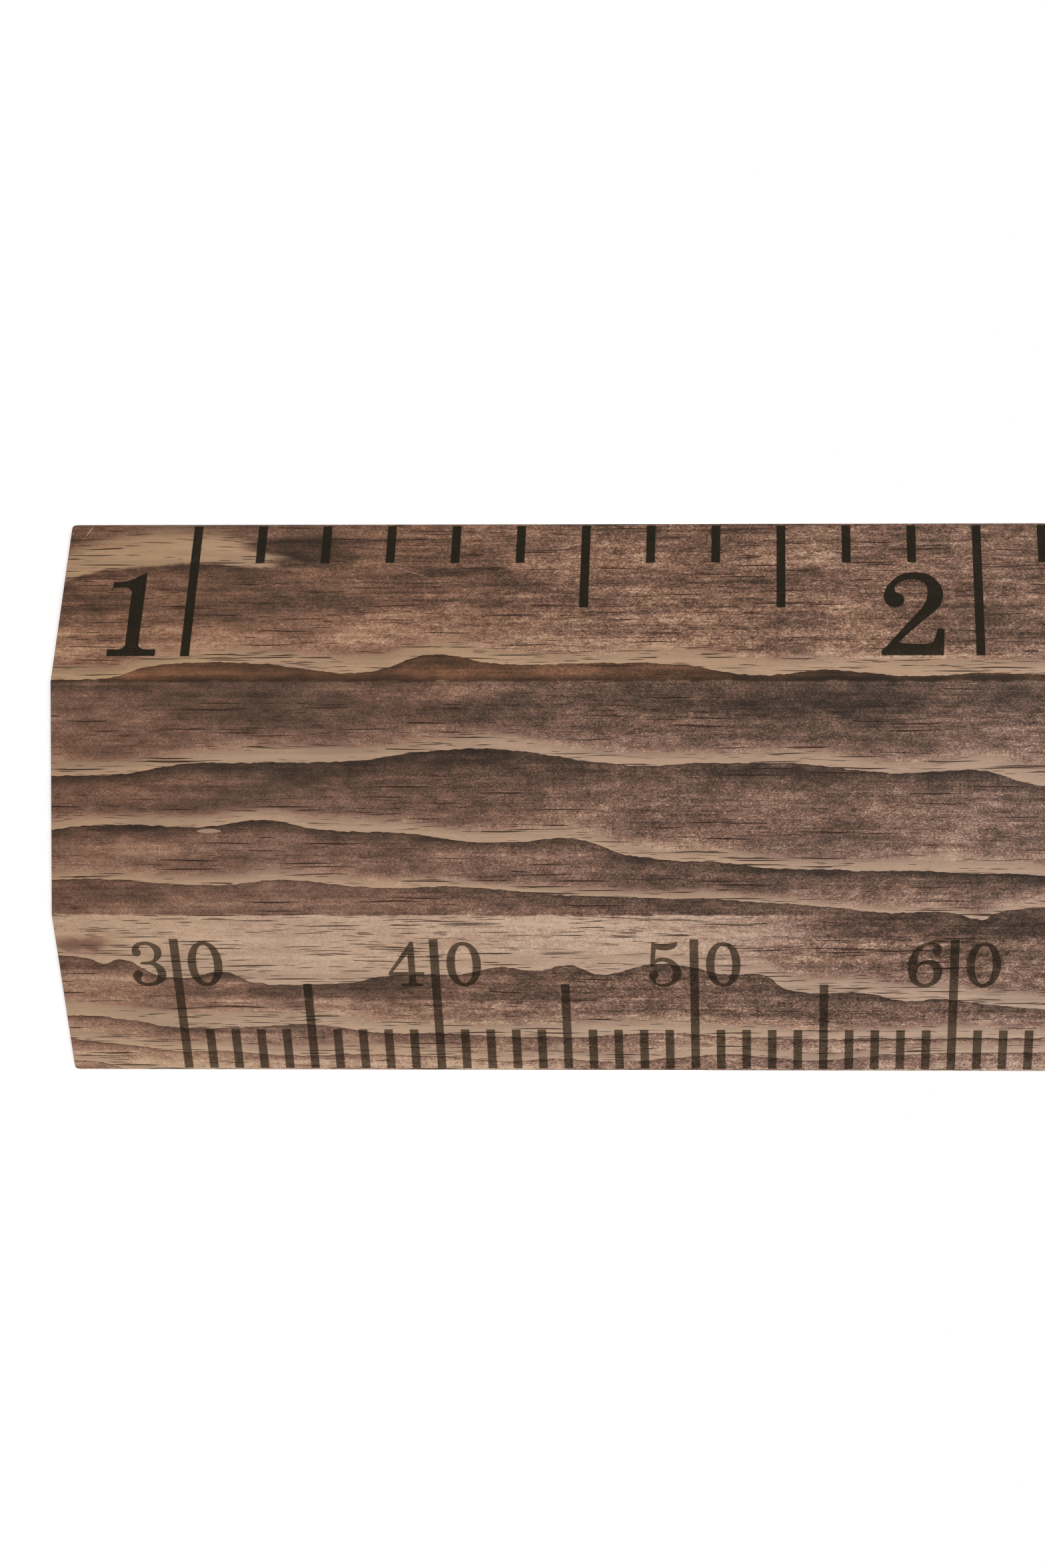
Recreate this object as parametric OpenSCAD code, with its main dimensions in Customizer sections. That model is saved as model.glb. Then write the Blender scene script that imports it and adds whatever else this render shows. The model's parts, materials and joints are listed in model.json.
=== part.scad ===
// Height chart in the shape of a giant wooden ruler, to hang upright on a wall.
// Sizes are in millimetres. +Z runs up the board, its bevelled face looks towards -Y
// and its flat back lies against the wall at y = 0. The origin is the middle of the
// back's bottom edge. The foot scale is on the -X side, the centimetre scale on +X.

/* [Board] */
// Length of the board from end to end
board_length = 1700; // [1200:10:2000]
// Width of the board over both bevelled sides
board_width = 215; // [180:1:260]
// Thickness of the board in its flat middle
board_thickness = 20; // [17:0.5:30]
// Width of the flat middle, between the two bevels
flat_width = 89; // [60:1:100]
// Thickness left at the long edges, where the bevels end
edge_thickness = 8; // [6:0.5:12]
// Rounding of the four corners, seen from the front
corner_radius = 3; // [1:0.5:12]
// Rounding of the four long outer edges
edge_radius = 1.2; // [0.4:0.2:2.4]
// Rounding of the two ridges where the bevels meet the flat
ridge_radius = 6; // [1:0.5:12]
// Width of the chamfer sanded round the front of each end
end_chamfer = 0.8; // [0.2:0.1:2]

/* [Scales] */
// Height of the bottom end above the floor, which is the reading there
floor_height = 254; // [0:1:400]
// Length at each end of the board that carries no marks
clear_end = 45; // [20:1:80]
// Width of the foot scale's marks, measured up the board
foot_mark_width = 3.4; // [1:0.1:5]
// Length of the line at each foot, from the edge of the board
foot_line_length = 53; // [40:0.5:54]
// Length of the tick at each quarter of a foot
quarter_tick_length = 34; // [24:0.5:38]
// Length of the tick at every other inch
inch_tick_length = 16; // [6:0.5:22]
// The one quarter of a foot that has a short tick, in inches above the floor
short_quarter = 15; // [0:3:84]
// Width of the centimetre scale's marks, measured up the board
cm_mark_width = 3.3; // [1:0.1:5]
// Length of the line at each ten centimetres, from the edge of the board
ten_cm_line_length = 53.5; // [40:0.5:54]
// Length of the tick halfway between two such lines
five_cm_tick_length = 35.5; // [24:0.5:38]
// Length of the tick at every other centimetre
cm_tick_length = 17; // [6:0.5:22]
// Thickness of the printed marks, measured square to the back
print_thickness = 0.12; // [0.06:0.01:0.3]

/* [Hanger plates] */
// Height of the lower plate's middle above the bottom end
lower_hanger_height = 250; // [100:5:500]
// Distance from the top end down to the upper plate's middle
upper_hanger_drop = 250; // [100:5:500]
// Length of a plate
plate_length = 44; // [40:1:60]
// Width of a plate
plate_width = 16; // [14:0.5:24]
// Thickness of a plate
plate_thickness = 1.6; // [1.5:0.1:2.5]
// How far a plate lies below the back of the board
plate_setback = 0.2; // [0.1:0.1:1]
// Gap all round a plate in its recess
plate_clearance = 0.25; // [0.1:0.05:0.6]

/* [Keyholes] */
// Radius of the hole that the head of a wall screw goes in by
entry_radius = 4.75; // [4:0.25:5.5]
// Width of the slot that the shank of the wall screw slides up
slot_width = 4.8; // [4:0.1:6]
// How far the board drops onto the wall screw
slot_travel = 13; // [10:0.5:13]
// Depth of the hollow that takes the head of the wall screw, under the plate
hollow_depth = 7; // [5:0.5:9]
// Width of that hollow
hollow_width = 11; // [10:0.5:12]

/* [Plate screws] */
// Distance between the two screws of a plate
screw_spacing = 34; // [32:0.5:36]
// Length of a screw, head and point included
screw_length = 14; // [10:1:14]
// Radius of a screw's shank
screw_radius = 1.45; // [1:0.05:1.6]
// Radius of a screw's countersunk head
screw_head_radius = 2.8; // [2.2:0.1:2.9]
// Length of a screw's tapered point
screw_point_length = 3; // [1:0.5:4]
// Gap all round a screw in its hole
screw_clearance = 0.08; // [0.05:0.01:0.2]

/* [Hidden] */

$fn = 48;
inch = 25.4;
inches_per_foot = 12;
centimetre = 10;
// Steps in each rounded corner of an outline. The count is odd, so that the middle of
// a ridge is a facet and not an edge where the chamfers of the flat and a bevel meet.
corner_steps = 7;
// How far a cut starts outside the face that it goes into
cut_over = 1;

half_width = board_width / 2;
half_flat = flat_width / 2;
bevel_angle = atan2(board_thickness - edge_thickness, half_width - half_flat);
// How far the rounding of the long edge reaches in from it, across the board
edge_rounding = edge_radius * tan((90 - bevel_angle) / 2) * cos(bevel_angle);

lowest_reading = floor_height + clear_end;
highest_reading = floor_height + board_length - clear_end;
inches = [ceil(lowest_reading / inch) : floor(highest_reading / inch)];
centimetres = [ceil(lowest_reading / centimetre) : floor(highest_reading / centimetre)];

lower_hanger_z = lower_hanger_height;
upper_hanger_z = board_length - upper_hanger_drop;
recess_depth = plate_setback + plate_thickness;
// Middle of the entry hole and top of the slot, from the middle of the plate
entry_z = entry_radius - (entry_radius + slot_travel + slot_width / 2) / 2;
seat_z = entry_z + slot_travel;
// The countersink is a right-angled cone
screw_head_height = screw_head_radius - screw_radius;
// Radius of the blunt tip of a screw
screw_tip_radius = 0.3;
// Depth of pilot hole left under the tip of a screw
pilot_spare = 1;

wood = "#8f6f55";
print = "#33291f";
zinc = "#b9bcc0";
steel = "#8d9094";

function is_foot(i) = i % inches_per_foot == 0;
function is_quarter(i) = !is_foot(i) && i % (inches_per_foot / 4) == 0 && i != short_quarter;
function is_ten(i) = i % 10 == 0;
function is_five(i) = !is_ten(i) && i % 5 == 0;

function unit(v) = v / norm(v);

// The points that round off corner p, between its neighbours a and b, to radius r.
function rounded_corner(a, p, b, r) =
  let (
    to_a = unit(a - p),
    to_b = unit(b - p),
    half = acos(to_a * to_b) / 2,
    centre = p + unit(to_a + to_b) * r / sin(half),
    from = p + to_a * r / tan(half) - centre,
    to = p + to_b * r / tan(half) - centre,
    start = atan2(from[1], from[0]),
    turn = atan2(to[1], to[0]) - start,
    sweep = turn > 180 ? turn - 360 : turn < -180 ? turn + 360 : turn
  )
  [
    for (k = [0 : corner_steps])
      centre + r * [cos(start + sweep * k / corner_steps), sin(start + sweep * k / corner_steps)]
  ];

// An outline with each of its corners rounded to that corner's own radius.
function rounded_outline(corners, radii) =
  let (n = len(corners))
  [
    for (i = [0 : n - 1])
      each rounded_corner(corners[(i + n - 1) % n], corners[i], corners[(i + 1) % n], radii[i])
  ];

// The board's cross-section: flat back at y = 0, flat middle and two bevels in front.
module board_section() {
  corners = [
    [half_width, 0],
    [-half_width, 0],
    [-half_width, -edge_thickness],
    [-half_flat, -board_thickness],
    [half_flat, -board_thickness],
    [half_width, -edge_thickness],
  ];
  radii = [edge_radius, edge_radius, edge_radius, ridge_radius, ridge_radius, edge_radius];
  polygon(rounded_outline(corners, radii));
}

// The board's outline seen from the front, a rectangle with small round corners.
module board_outline() {
  corners = [
    [-half_width, 0],
    [half_width, 0],
    [half_width, board_length],
    [-half_width, board_length],
  ];
  rotate([90, 0, 0])
    translate([0, 0, -cut_over])
      linear_extrude(board_thickness + 2 * cut_over)
        polygon(rounded_outline(corners, [for (corner = corners) corner_radius]));
}

// Moves its children to the long edge on the +X side, with X running up the bevel
// and Y standing out of it.
module on_bevel(z) {
  translate([half_width, -edge_thickness, z])
    rotate([0, 0, 180 + bevel_angle])
      children();
}

// A square bar with one edge on each side of a sharp edge, which it chamfers.
module chamfer_bar() {
  side = end_chamfer * sqrt(2);
  rotate([45, 0, 0])
    cube([board_width, side, side], center = true);
}

// The chamfer round the front of one end, along the flat and down both bevels.
module end_chamfer_cut(z) {
  translate([0, -board_thickness, z])
    chamfer_bar();
  for (side = [0, 1])
    mirror([side, 0, 0])
      on_bevel(z)
        chamfer_bar();
}

// An upright slot with round ends, about the origin.
module round_slot(length, width) {
  square([width, length - width], center = true);
  for (end = [-1, 1])
    translate([0, end * (length - width) / 2])
      circle(d = width);
}

// The keyhole that a wall screw goes in by and slides up, about the plate's middle.
module keyhole() {
  translate([0, entry_z])
    circle(r = entry_radius);
  translate([0, (entry_z + seat_z) / 2])
    round_slot(slot_travel + slot_width, slot_width);
}

// A cut of an outline into the back of the board, to a depth below it.
module cut_into_back(depth) {
  translate([0, cut_over, 0])
    rotate([90, 0, 0])
      linear_extrude(depth + cut_over)
        children();
}

// Repeats its children at the two screws of a plate.
module at_screws() {
  for (end = [-1, 1])
    translate([0, 0, end * screw_spacing / 2])
      children();
}

// The stepped recess behind one hanger: plate, head of the wall screw, pilot holes.
module hanger_recess() {
  cut_into_back(recess_depth)
    round_slot(plate_length + 2 * plate_clearance, plate_width + 2 * plate_clearance);
  cut_into_back(recess_depth + hollow_depth)
    translate([0, (entry_z + seat_z) / 2])
      round_slot(slot_travel + hollow_width, hollow_width);
  at_screws()
    cut_into_back(plate_setback + screw_length + pilot_spare)
      circle(r = screw_radius + screw_clearance);
}

// A flat plate with its keyhole and two countersunk holes, in its recess.
module hanger_plate() {
  difference() {
    translate([0, -plate_setback, 0])
      rotate([90, 0, 0])
        linear_extrude(plate_thickness)
          difference() {
            round_slot(plate_length, plate_width);
            keyhole();
          }
    at_screws() {
      cut_into_back(recess_depth + cut_over)
        circle(r = screw_radius + screw_clearance);
      translate([0, cut_over - plate_setback, 0])
        rotate([90, 0, 0])
          cylinder(
            h = screw_head_height + cut_over,
            r1 = screw_head_radius + screw_clearance + cut_over,
            r2 = screw_radius + screw_clearance
          );
    }
  }
}

// The two countersunk wood screws that hold a plate, flush with its face.
module hanger_screws() {
  at_screws()
    translate([0, -plate_setback, 0])
      rotate([90, 0, 0]) {
        cylinder(h = screw_head_height, r1 = screw_head_radius, r2 = screw_radius);
        cylinder(h = screw_length - screw_point_length, r = screw_radius);
        translate([0, 0, screw_length - screw_point_length])
          cylinder(h = screw_point_length, r1 = screw_radius, r2 = screw_tip_radius);
      }
}

// Y of the board's front at a distance from its middle, on the flat or on a bevel.
function front_y(x) =
  x < half_flat ? -board_thickness : -edge_thickness - (half_width - x) * tan(bevel_angle);

// A printed mark from the +X edge inwards, at a height above the floor. It lies on the
// bevel, and a mark that is longer than the bevel is wide goes on over the ridge.
module printed_mark(reading, width, length) {
  end = half_width - length;
  path = [half_width - edge_rounding, if (end < half_flat) half_flat, end];
  under = [for (x = path) [x, front_y(x)]];
  over = [for (i = [len(path) - 1 : -1 : 0]) [path[i], front_y(path[i]) - print_thickness]];
  translate([0, 0, reading - floor_height - width / 2])
    linear_extrude(width)
      polygon(concat(under, over));
}

module foot_mark(i, length) {
  mirror([1, 0, 0])
    printed_mark(i * inch, foot_mark_width, length);
}

module centimetre_mark(i, length) {
  printed_mark(i * centimetre, cm_mark_width, length);
}

module board() {
  color(wood)
    difference() {
      intersection() {
        linear_extrude(board_length)
          board_section();
        board_outline();
      }
      for (z = [0, board_length])
        end_chamfer_cut(z);
      for (z = [lower_hanger_z, upper_hanger_z])
        translate([0, 0, z])
          hanger_recess();
    }
}

module foot_lines() {
  color(print)
    for (i = inches)
      if (is_foot(i))
        foot_mark(i, foot_line_length);
}

module quarter_foot_ticks() {
  color(print)
    for (i = inches)
      if (is_quarter(i))
        foot_mark(i, quarter_tick_length);
}

module inch_ticks() {
  color(print)
    for (i = inches)
      if (!is_foot(i) && !is_quarter(i))
        foot_mark(i, inch_tick_length);
}

module ten_centimetre_lines() {
  color(print)
    for (i = centimetres)
      if (is_ten(i))
        centimetre_mark(i, ten_cm_line_length);
}

module five_centimetre_ticks() {
  color(print)
    for (i = centimetres)
      if (is_five(i))
        centimetre_mark(i, five_cm_tick_length);
}

module centimetre_ticks() {
  color(print)
    for (i = centimetres)
      if (!is_ten(i) && !is_five(i))
        centimetre_mark(i, cm_tick_length);
}

module upper_hanger_plate() {
  color(zinc)
    translate([0, 0, upper_hanger_z])
      hanger_plate();
}

module lower_hanger_plate() {
  color(zinc)
    translate([0, 0, lower_hanger_z])
      hanger_plate();
}

module upper_hanger_screws() {
  color(steel)
    translate([0, 0, upper_hanger_z])
      hanger_screws();
}

module lower_hanger_screws() {
  color(steel)
    translate([0, 0, lower_hanger_z])
      hanger_screws();
}

board();
foot_lines();
quarter_foot_ticks();
inch_ticks();
ten_centimetre_lines();
five_centimetre_ticks();
centimetre_ticks();
upper_hanger_plate();
lower_hanger_plate();
upper_hanger_screws();
lower_hanger_screws();
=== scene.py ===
"""Finishes of a height chart ruler: stained board, printed scales, hanger plates and screws.

The file is laid out as an add-on and is run as a script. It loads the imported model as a
fixed frame: +Z runs up the ruler, its bevelled face looks towards -Y, the foot scale is on
the -X side and the centimetre scale on the +X side. Patterns in the materials are worked
out in millimetres; everything else is in metres.
"""

import json
import math
from collections import namedtuple

import bmesh
import bpy
from bpy.props import FloatProperty, FloatVectorProperty, PointerProperty
from mathutils import Matrix, Vector

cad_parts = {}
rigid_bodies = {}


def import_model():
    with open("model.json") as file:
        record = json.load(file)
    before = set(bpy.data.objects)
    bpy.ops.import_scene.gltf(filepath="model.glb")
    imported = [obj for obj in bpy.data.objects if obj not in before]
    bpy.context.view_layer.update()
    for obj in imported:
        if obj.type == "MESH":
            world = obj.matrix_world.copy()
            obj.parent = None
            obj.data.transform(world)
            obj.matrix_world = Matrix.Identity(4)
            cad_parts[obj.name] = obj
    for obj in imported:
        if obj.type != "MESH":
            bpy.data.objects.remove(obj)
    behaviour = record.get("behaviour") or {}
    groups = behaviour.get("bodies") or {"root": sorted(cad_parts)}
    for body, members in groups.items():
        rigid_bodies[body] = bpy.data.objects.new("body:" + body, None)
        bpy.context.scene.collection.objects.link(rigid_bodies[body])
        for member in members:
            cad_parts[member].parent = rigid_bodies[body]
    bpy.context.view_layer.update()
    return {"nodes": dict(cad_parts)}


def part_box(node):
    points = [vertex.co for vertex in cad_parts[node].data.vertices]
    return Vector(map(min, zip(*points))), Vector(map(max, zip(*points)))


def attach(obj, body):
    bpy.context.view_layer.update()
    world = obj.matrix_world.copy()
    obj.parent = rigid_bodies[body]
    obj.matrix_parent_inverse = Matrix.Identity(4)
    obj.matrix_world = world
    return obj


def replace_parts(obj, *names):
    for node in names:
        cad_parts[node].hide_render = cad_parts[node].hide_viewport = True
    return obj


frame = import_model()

bl_info = {
    "name": "Height Chart Ruler",
    "version": (1, 0, 0),
    "blender": (4, 5, 0),
    "location": "3D View > Sidebar > Height Chart",
    "description": "Finishes the board, prints its numerals and fits its hanger screws",
    "category": "Object",
}

MM = 0.001
BODY = "root"
BOARD_LOW, BOARD_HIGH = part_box("board")
HALF_WIDTH = BOARD_HIGH.x
THICKNESS = -BOARD_LOW.y
# Sizes of the board's section that its box doesn't give
HALF_FLAT = 44.5 * MM
EDGE_THICKNESS = 8 * MM
BEVEL = math.atan2(THICKNESS - EDGE_THICKNESS, HALF_WIDTH - HALF_FLAT)
# The bottom end's height above the floor, and the bare length at both ends
FLOOR_HEIGHT = 254 * MM
CLEAR_END = 45 * MM
FOOT = 304.8 * MM
TEN_CENTIMETRES = 100 * MM

FOOT_MARKS = ("foot_lines", "quarter_foot_ticks", "inch_ticks")
CENTIMETRE_MARKS = ("ten_centimetre_lines", "five_centimetre_ticks", "centimetre_ticks")
HANGERS = ("upper", "lower")


def tone(red, green, blue):
    """A colour given in the 0 to 255 of a colour card, as the linear values that shaders use."""
    parts = (part / 255 for part in (red, green, blue))
    return tuple(p / 12.92 if p <= 0.04045 else ((p + 0.055) / 1.055) ** 2.4 for p in parts)


# The board's figure, in millimetres

# The tree's pith lies outside the board, in front of its foot scale. Ring lines are given
# by where they cross the plane of the flat middle.
PITH_X = -135.0
PITH_Y = -55.0
FACE_Y = -20.0
RIDGE = HALF_FLAT / MM
# The stretch that the ring lines are drawn for; further up they wander
DRAWN_LENGTH = 400.0
LINE_REACH = 150.0

# A ring line: width of the pale strip before it at the bottom end and at the end of the drawn
# stretch, level of the stain just past it and in the middle of its ring, and its points as
# (height, place across the board). Levels run from 0 for the darkest stain to 1 for bare wood.
RingLine = namedtuple("RingLine", "strip_low strip_high start middle points")

# The ring lines from the foot scale to the centimetre scale
RING_LINES = [
    RingLine(0.0, 0.0, 0.26, 0.42, [(0, -128), (400, -130)]),
    RingLine(4.7, 4.4, 0.3, 0.34, [
        (0, -45), (25, -46.5), (40, -50.5), (75, -51), (125, -48.5), (143, -53.5), (170, -51),
        (240, -50.5), (266, -47), (300, -48), (340, -46.5), (365, -47.5), (400, -46),
    ]),
    RingLine(4.2, 4.4, 0.03, 0.38, [
        (0, -8.5), (25, -9.5), (57, -13), (118, -14.5), (140, -17), (165, -19), (217, -13),
        (280, -13.5), (325, -10), (357, -10.5), (372, -6), (400, -4),
    ]),
    RingLine(3.6, 3.8, 0.04, 0.52, [
        (0, 12), (34, 10), (57, 11), (80, 8.5), (105, 12), (128, 13), (170, 17), (204, 16),
        (221, 21.5), (256, 24.5), (292, 27.5), (325, 27.5), (400, 30),
    ]),
    RingLine(2.8, 1.4, 0.26, 0.5, [
        (0, 31.5), (28, 31.5), (55, 33), (97, 31), (123, 34), (156, 34), (192, 36.5), (240, 38),
        (285, 40.5), (315, 43), (345, 43.5), (356, 46), (361, 43.5), (400, 42.5),
    ]),
    RingLine(7.0, 4.0, 0.22, 0.57, [
        (0, 61.5), (12, 63), (18, 65), (24, 63), (40, 69.5), (52, 70), (64, 67.5), (76, 72.5),
        (105, 73), (130, 69.5), (155, 69), (170, 66), (185, 67.5), (198, 65), (209, 68.5),
        (230, 64.5), (242, 65.5), (258, 69), (273, 69.5), (281, 74.5), (312, 76.5), (328, 80),
        (340, 79), (362, 82), (400, 83),
    ]),
    RingLine(5.5, 3.4, 0.36, 0.7, [
        (0, 86.5), (24, 87.5), (42, 91), (95, 90.5), (125, 93), (185, 95), (230, 93.5),
        (290, 96), (350, 95.5), (400, 96),
    ]),
    RingLine(3.4, 2.4, 0.58, 0.86, [
        (0, 96), (27, 99), (42, 101.5), (65, 101.5), (98, 103.5), (110, 102.5), (150, 104),
        (178, 105), (190, 104), (216, 105.5), (258, 102.5), (290, 104.5), (345, 102), (400, 102),
    ]),
    RingLine(2.6, 2.4, 0.62, 0.86, [(0, 105), (10, 105.5), (22, 109), (50, 112), (400, 114.5)]),
]
# Level of the stain at the end of every ring
RING_END = 0.68
# The ring that the ridge of the foot bevel cuts through, counted from the foot scale
RIDGE_RING = 2
# The ring that is planed bare on the centimetre bevel, where its bare stretch ends, its level
BARE_RING = 5
BARE_END = 275.0
BARE_LEVEL = 1.04

# A hard patch at the bottom end of the foot bevel: its lower border, and its size
PATCH_BORDER = [(0, -78.5), (23, -83), (79, -83), (400, -84)]
PATCH_WIDTH = 8.2
PATCH_LENGTH = 88.0

# Clouds where the stain soaked in more, or less: height, place across, half length, half
# width and change of level
STAIN_CLOUDS = [
    (6, -74, 20, 6, -0.12),
    (94, -97, 24, 8, -0.24),
    (140, -84, 80, 12, -0.06),
    (325, -96, 80, 12, 0.14),
    (300, -62, 110, 9, -0.06),
    (34, -61, 55, 8, 0.12),
    (60, -47.5, 105, 5, 0.1),
    (310, -48, 90, 4.5, -0.12),
    (300, -37, 150, 6, -0.14),
    (8, -36, 34, 9, 0.26),
    (372, 6, 60, 14, 0.08),
    (70, -30, 20, 5, -0.08),
    (104, -9, 26, 7, -0.14),
    (150, -5, 48, 8, -0.06),
    (101, 20, 44, 5, -0.08),
    (155, 27, 26, 5, -0.08),
    (290, 31, 120, 6, -0.2),
    (22, 22, 40, 8, 0.1),
    (345, 49, 60, 7, -0.24),
    (371, 58, 34, 8, -0.14),
    (130, 75, 200, 3.5, -0.14),
    (120, 86, 150, 5, 0.12),
    (340, 88, 90, 14, -0.06),
    (12, 56.5, 15, 3.8, -0.5),
    (14, 72, 34, 9, 0.24),
]
# Clouds at least this dark also stain the hard wood
DEEP_CLOUD = -0.36

# Pale scratches and chips, as (height, place across) of both ends, and half width
SCRATCHES = [
    ((6.5, -102.5), (9, -106.5), 0.3),
    ((56.5, 12.5), (65.5, 12.5), 0.9),
    ((7, 45), (21.5, 44.5), 0.26),
    ((279, 102.5), (288, 106.5), 0.16),
    ((127.5, -90.5), (144, -85), 0.11),
    ((160, 106.5), (161, 104.5), 0.35),
    ((336, 104.5), (338, 104.5), 0.4),
]
# Dark scratches, given the same way
DARK_SCRATCHES = [
    ((274, 14), (311, 13), 0.22),
    ((59, 11), (63.5, 11), 0.4),
    ((8.5, 42), (10.5, 42), 0.5),
    ((342, -59), (344, -58.5), 0.4),
]


# Numerals

# Outlines of the numerals in thousandths of their height, baseline at 0. A third value
# marks a sharp corner.
NUMERALS = {
    "1": [
        [
            (0, 0, 1), (555, 0, 1), (555, 80, 1), (400, 85), (350, 125, 1), (355, 1000, 1), (290, 980),
            (200, 930), (90, 900), (-25, 895, 1), (-20, 825, 1), (150, 825), (200, 780, 1),
            (200, 125, 1), (155, 85), (0, 80, 1),
        ],
    ],
    "2": [
        [
            (45, 745), (70, 815), (140, 900), (245, 975), (385, 1000), (530, 985), (630, 925),
            (700, 835), (725, 745), (705, 640), (655, 560), (480, 410), (300, 250), (200, 155, 1),
            (295, 140), (425, 135), (540, 140), (595, 165), (625, 235), (650, 315, 1), (730, 315, 1),
            (710, 0, 1), (0, 0, 1), (0, 55, 1), (70, 120), (215, 285), (345, 425), (440, 530),
            (495, 600), (535, 690), (545, 765), (535, 835), (485, 890), (405, 915), (320, 915),
            (240, 890), (185, 845), (165, 800), (180, 760), (225, 740), (260, 715), (275, 675),
            (260, 620), (220, 585), (160, 575), (105, 590), (60, 630), (40, 695),
        ],
    ],
    "3": [
        [
            (130, 915), (235, 980), (390, 1000), (550, 960), (670, 875), (705, 750), (665, 640),
            (545, 535, 1), (670, 460), (740, 350), (745, 235), (705, 135), (590, 55), (450, 5),
            (300, 0), (160, 45), (70, 125), (40, 235), (75, 320), (155, 355), (225, 325), (245, 250),
            (195, 175), (205, 110), (275, 70), (400, 75), (510, 125), (565, 225), (565, 335),
            (525, 425), (450, 475), (335, 485), (235, 490, 1), (225, 520), (265, 545, 1), (410, 555),
            (490, 585), (540, 665), (550, 765), (515, 855), (445, 915), (330, 920), (250, 895),
            (225, 840), (265, 775), (245, 705), (180, 670), (100, 700), (80, 800),
        ],
    ],
    "4": [
        [
            (495, 1000, 1), (570, 1000, 1), (570, 320, 1), (755, 320, 1), (755, 245, 1), (570, 245, 1),
            (570, 125, 1), (595, 75), (720, 60, 1), (720, 0, 1), (265, 0, 1), (265, 60, 1), (405, 75),
            (430, 125, 1), (430, 245, 1), (0, 245, 1), (0, 305, 1),
        ],
        [(430, 735, 1), (85, 320, 1), (430, 320, 1)],
    ],
    "5": [
        [
            (70, 995, 1), (210, 965), (405, 965), (520, 985), (605, 1005, 1), (615, 970), (565, 885),
            (475, 840), (380, 820), (265, 825), (160, 845, 1), (130, 615, 1), (225, 650), (330, 655),
            (470, 620), (590, 530), (670, 405), (695, 300), (665, 195), (590, 105), (485, 40), (370, 0),
            (275, 0), (160, 40), (60, 125), (5, 225), (20, 320), (95, 365), (170, 335), (200, 265),
            (170, 195), (135, 145), (160, 95), (230, 60), (330, 65), (430, 100), (490, 170), (510, 265),
            (500, 390), (450, 495), (370, 555), (280, 570), (190, 550), (130, 505), (95, 455, 1),
            (45, 450), (30, 485, 1),
        ],
    ],
    "6": [
        [
            (710, 845), (660, 945), (520, 1000), (380, 990), (235, 935), (120, 820), (40, 670),
            (0, 500), (5, 335), (45, 185), (125, 75), (235, 15), (365, 0), (495, 20), (620, 95),
            (705, 225), (735, 360), (710, 465), (645, 550), (545, 600), (430, 605), (305, 575),
            (190, 515, 1), (205, 680), (265, 820), (365, 915), (470, 940), (535, 910), (515, 835),
            (530, 760), (605, 720), (685, 750),
        ],
        [
            (365, 515), (235, 460), (185, 335), (200, 195), (265, 100), (365, 70), (470, 100),
            (535, 195), (550, 315), (520, 440), (455, 500),
        ],
    ],
    "7": [
        [
            (20, 740, 1), (62, 740, 1), (90, 810), (150, 865), (240, 862), (360, 835), (480, 842),
            (560, 878, 1), (470, 710), (350, 530), (260, 350), (220, 190), (218, 80), (270, 5), (345, 0),
            (400, 45), (402, 130), (385, 260), (420, 430), (500, 600), (600, 770), (680, 910),
            (690, 995, 1), (650, 995, 1), (580, 972), (470, 965), (330, 995), (210, 1000), (120, 965),
            (72, 995, 1), (30, 995, 1),
        ],
    ],
    "8": [
        [
            (350, 1000), (200, 975), (95, 900), (60, 775), (100, 660), (215, 560, 1), (80, 460),
            (20, 340), (30, 180), (120, 60), (250, 10), (360, 0), (500, 15), (630, 80), (700, 200),
            (700, 340), (620, 460), (490, 545, 1), (600, 630), (650, 740), (630, 880), (530, 965),
        ],
        [
            (360, 930), (470, 895), (525, 800), (515, 690), (435, 590, 1), (280, 670), (205, 760),
            (205, 860), (270, 920),
        ],
        [
            (250, 520, 1), (420, 430), (550, 330), (580, 220), (530, 120), (440, 75), (340, 70),
            (220, 100), (150, 190), (145, 310), (185, 430),
        ],
    ],
}
# The nought is two ovals: half width and half height
NOUGHT_OUTSIDE = (365, 500)
NOUGHT_INSIDE = (190, 428)
OVAL_POINTS = 24
# 1 gives a true oval, and less gives a squarer one
OVAL_POWER = 0.94
# The nine is the six turned about the middle of a box of this width and height
NINE_BOX = (736, 1000)
SPLINE_STEPS = 6


def oval(half_width, half_height):
    """A slightly squared oval, as a numeral's outline about the middle of a nought."""
    points = []
    for k in range(OVAL_POINTS):
        angle = 2 * math.pi * k / OVAL_POINTS
        across, up = math.cos(angle), math.sin(angle)
        points.append((
            NOUGHT_OUTSIDE[0] + half_width * math.copysign(abs(across) ** OVAL_POWER, across),
            NOUGHT_OUTSIDE[1] + half_height * math.copysign(abs(up) ** OVAL_POWER, up),
        ))
    return points


NUMERALS["0"] = [oval(*NOUGHT_OUTSIDE), oval(*NOUGHT_INSIDE)]
NUMERALS["9"] = [
    [(NINE_BOX[0] - point[0], NINE_BOX[1] - point[1], *point[2:]) for point in outline]
    for outline in NUMERALS["6"]
]


def numeral_width(digit):
    """Width of a numeral as a share of its height."""
    return max(point[0] for outline in NUMERALS[digit] for point in outline) / 1000


def between(a, b, t0, t1, t):
    """The point that t reaches on the line from a, at t0, to b, at t1."""
    return ((t1 - t) * a + (t - t0) * b) / (t1 - t0)


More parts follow.
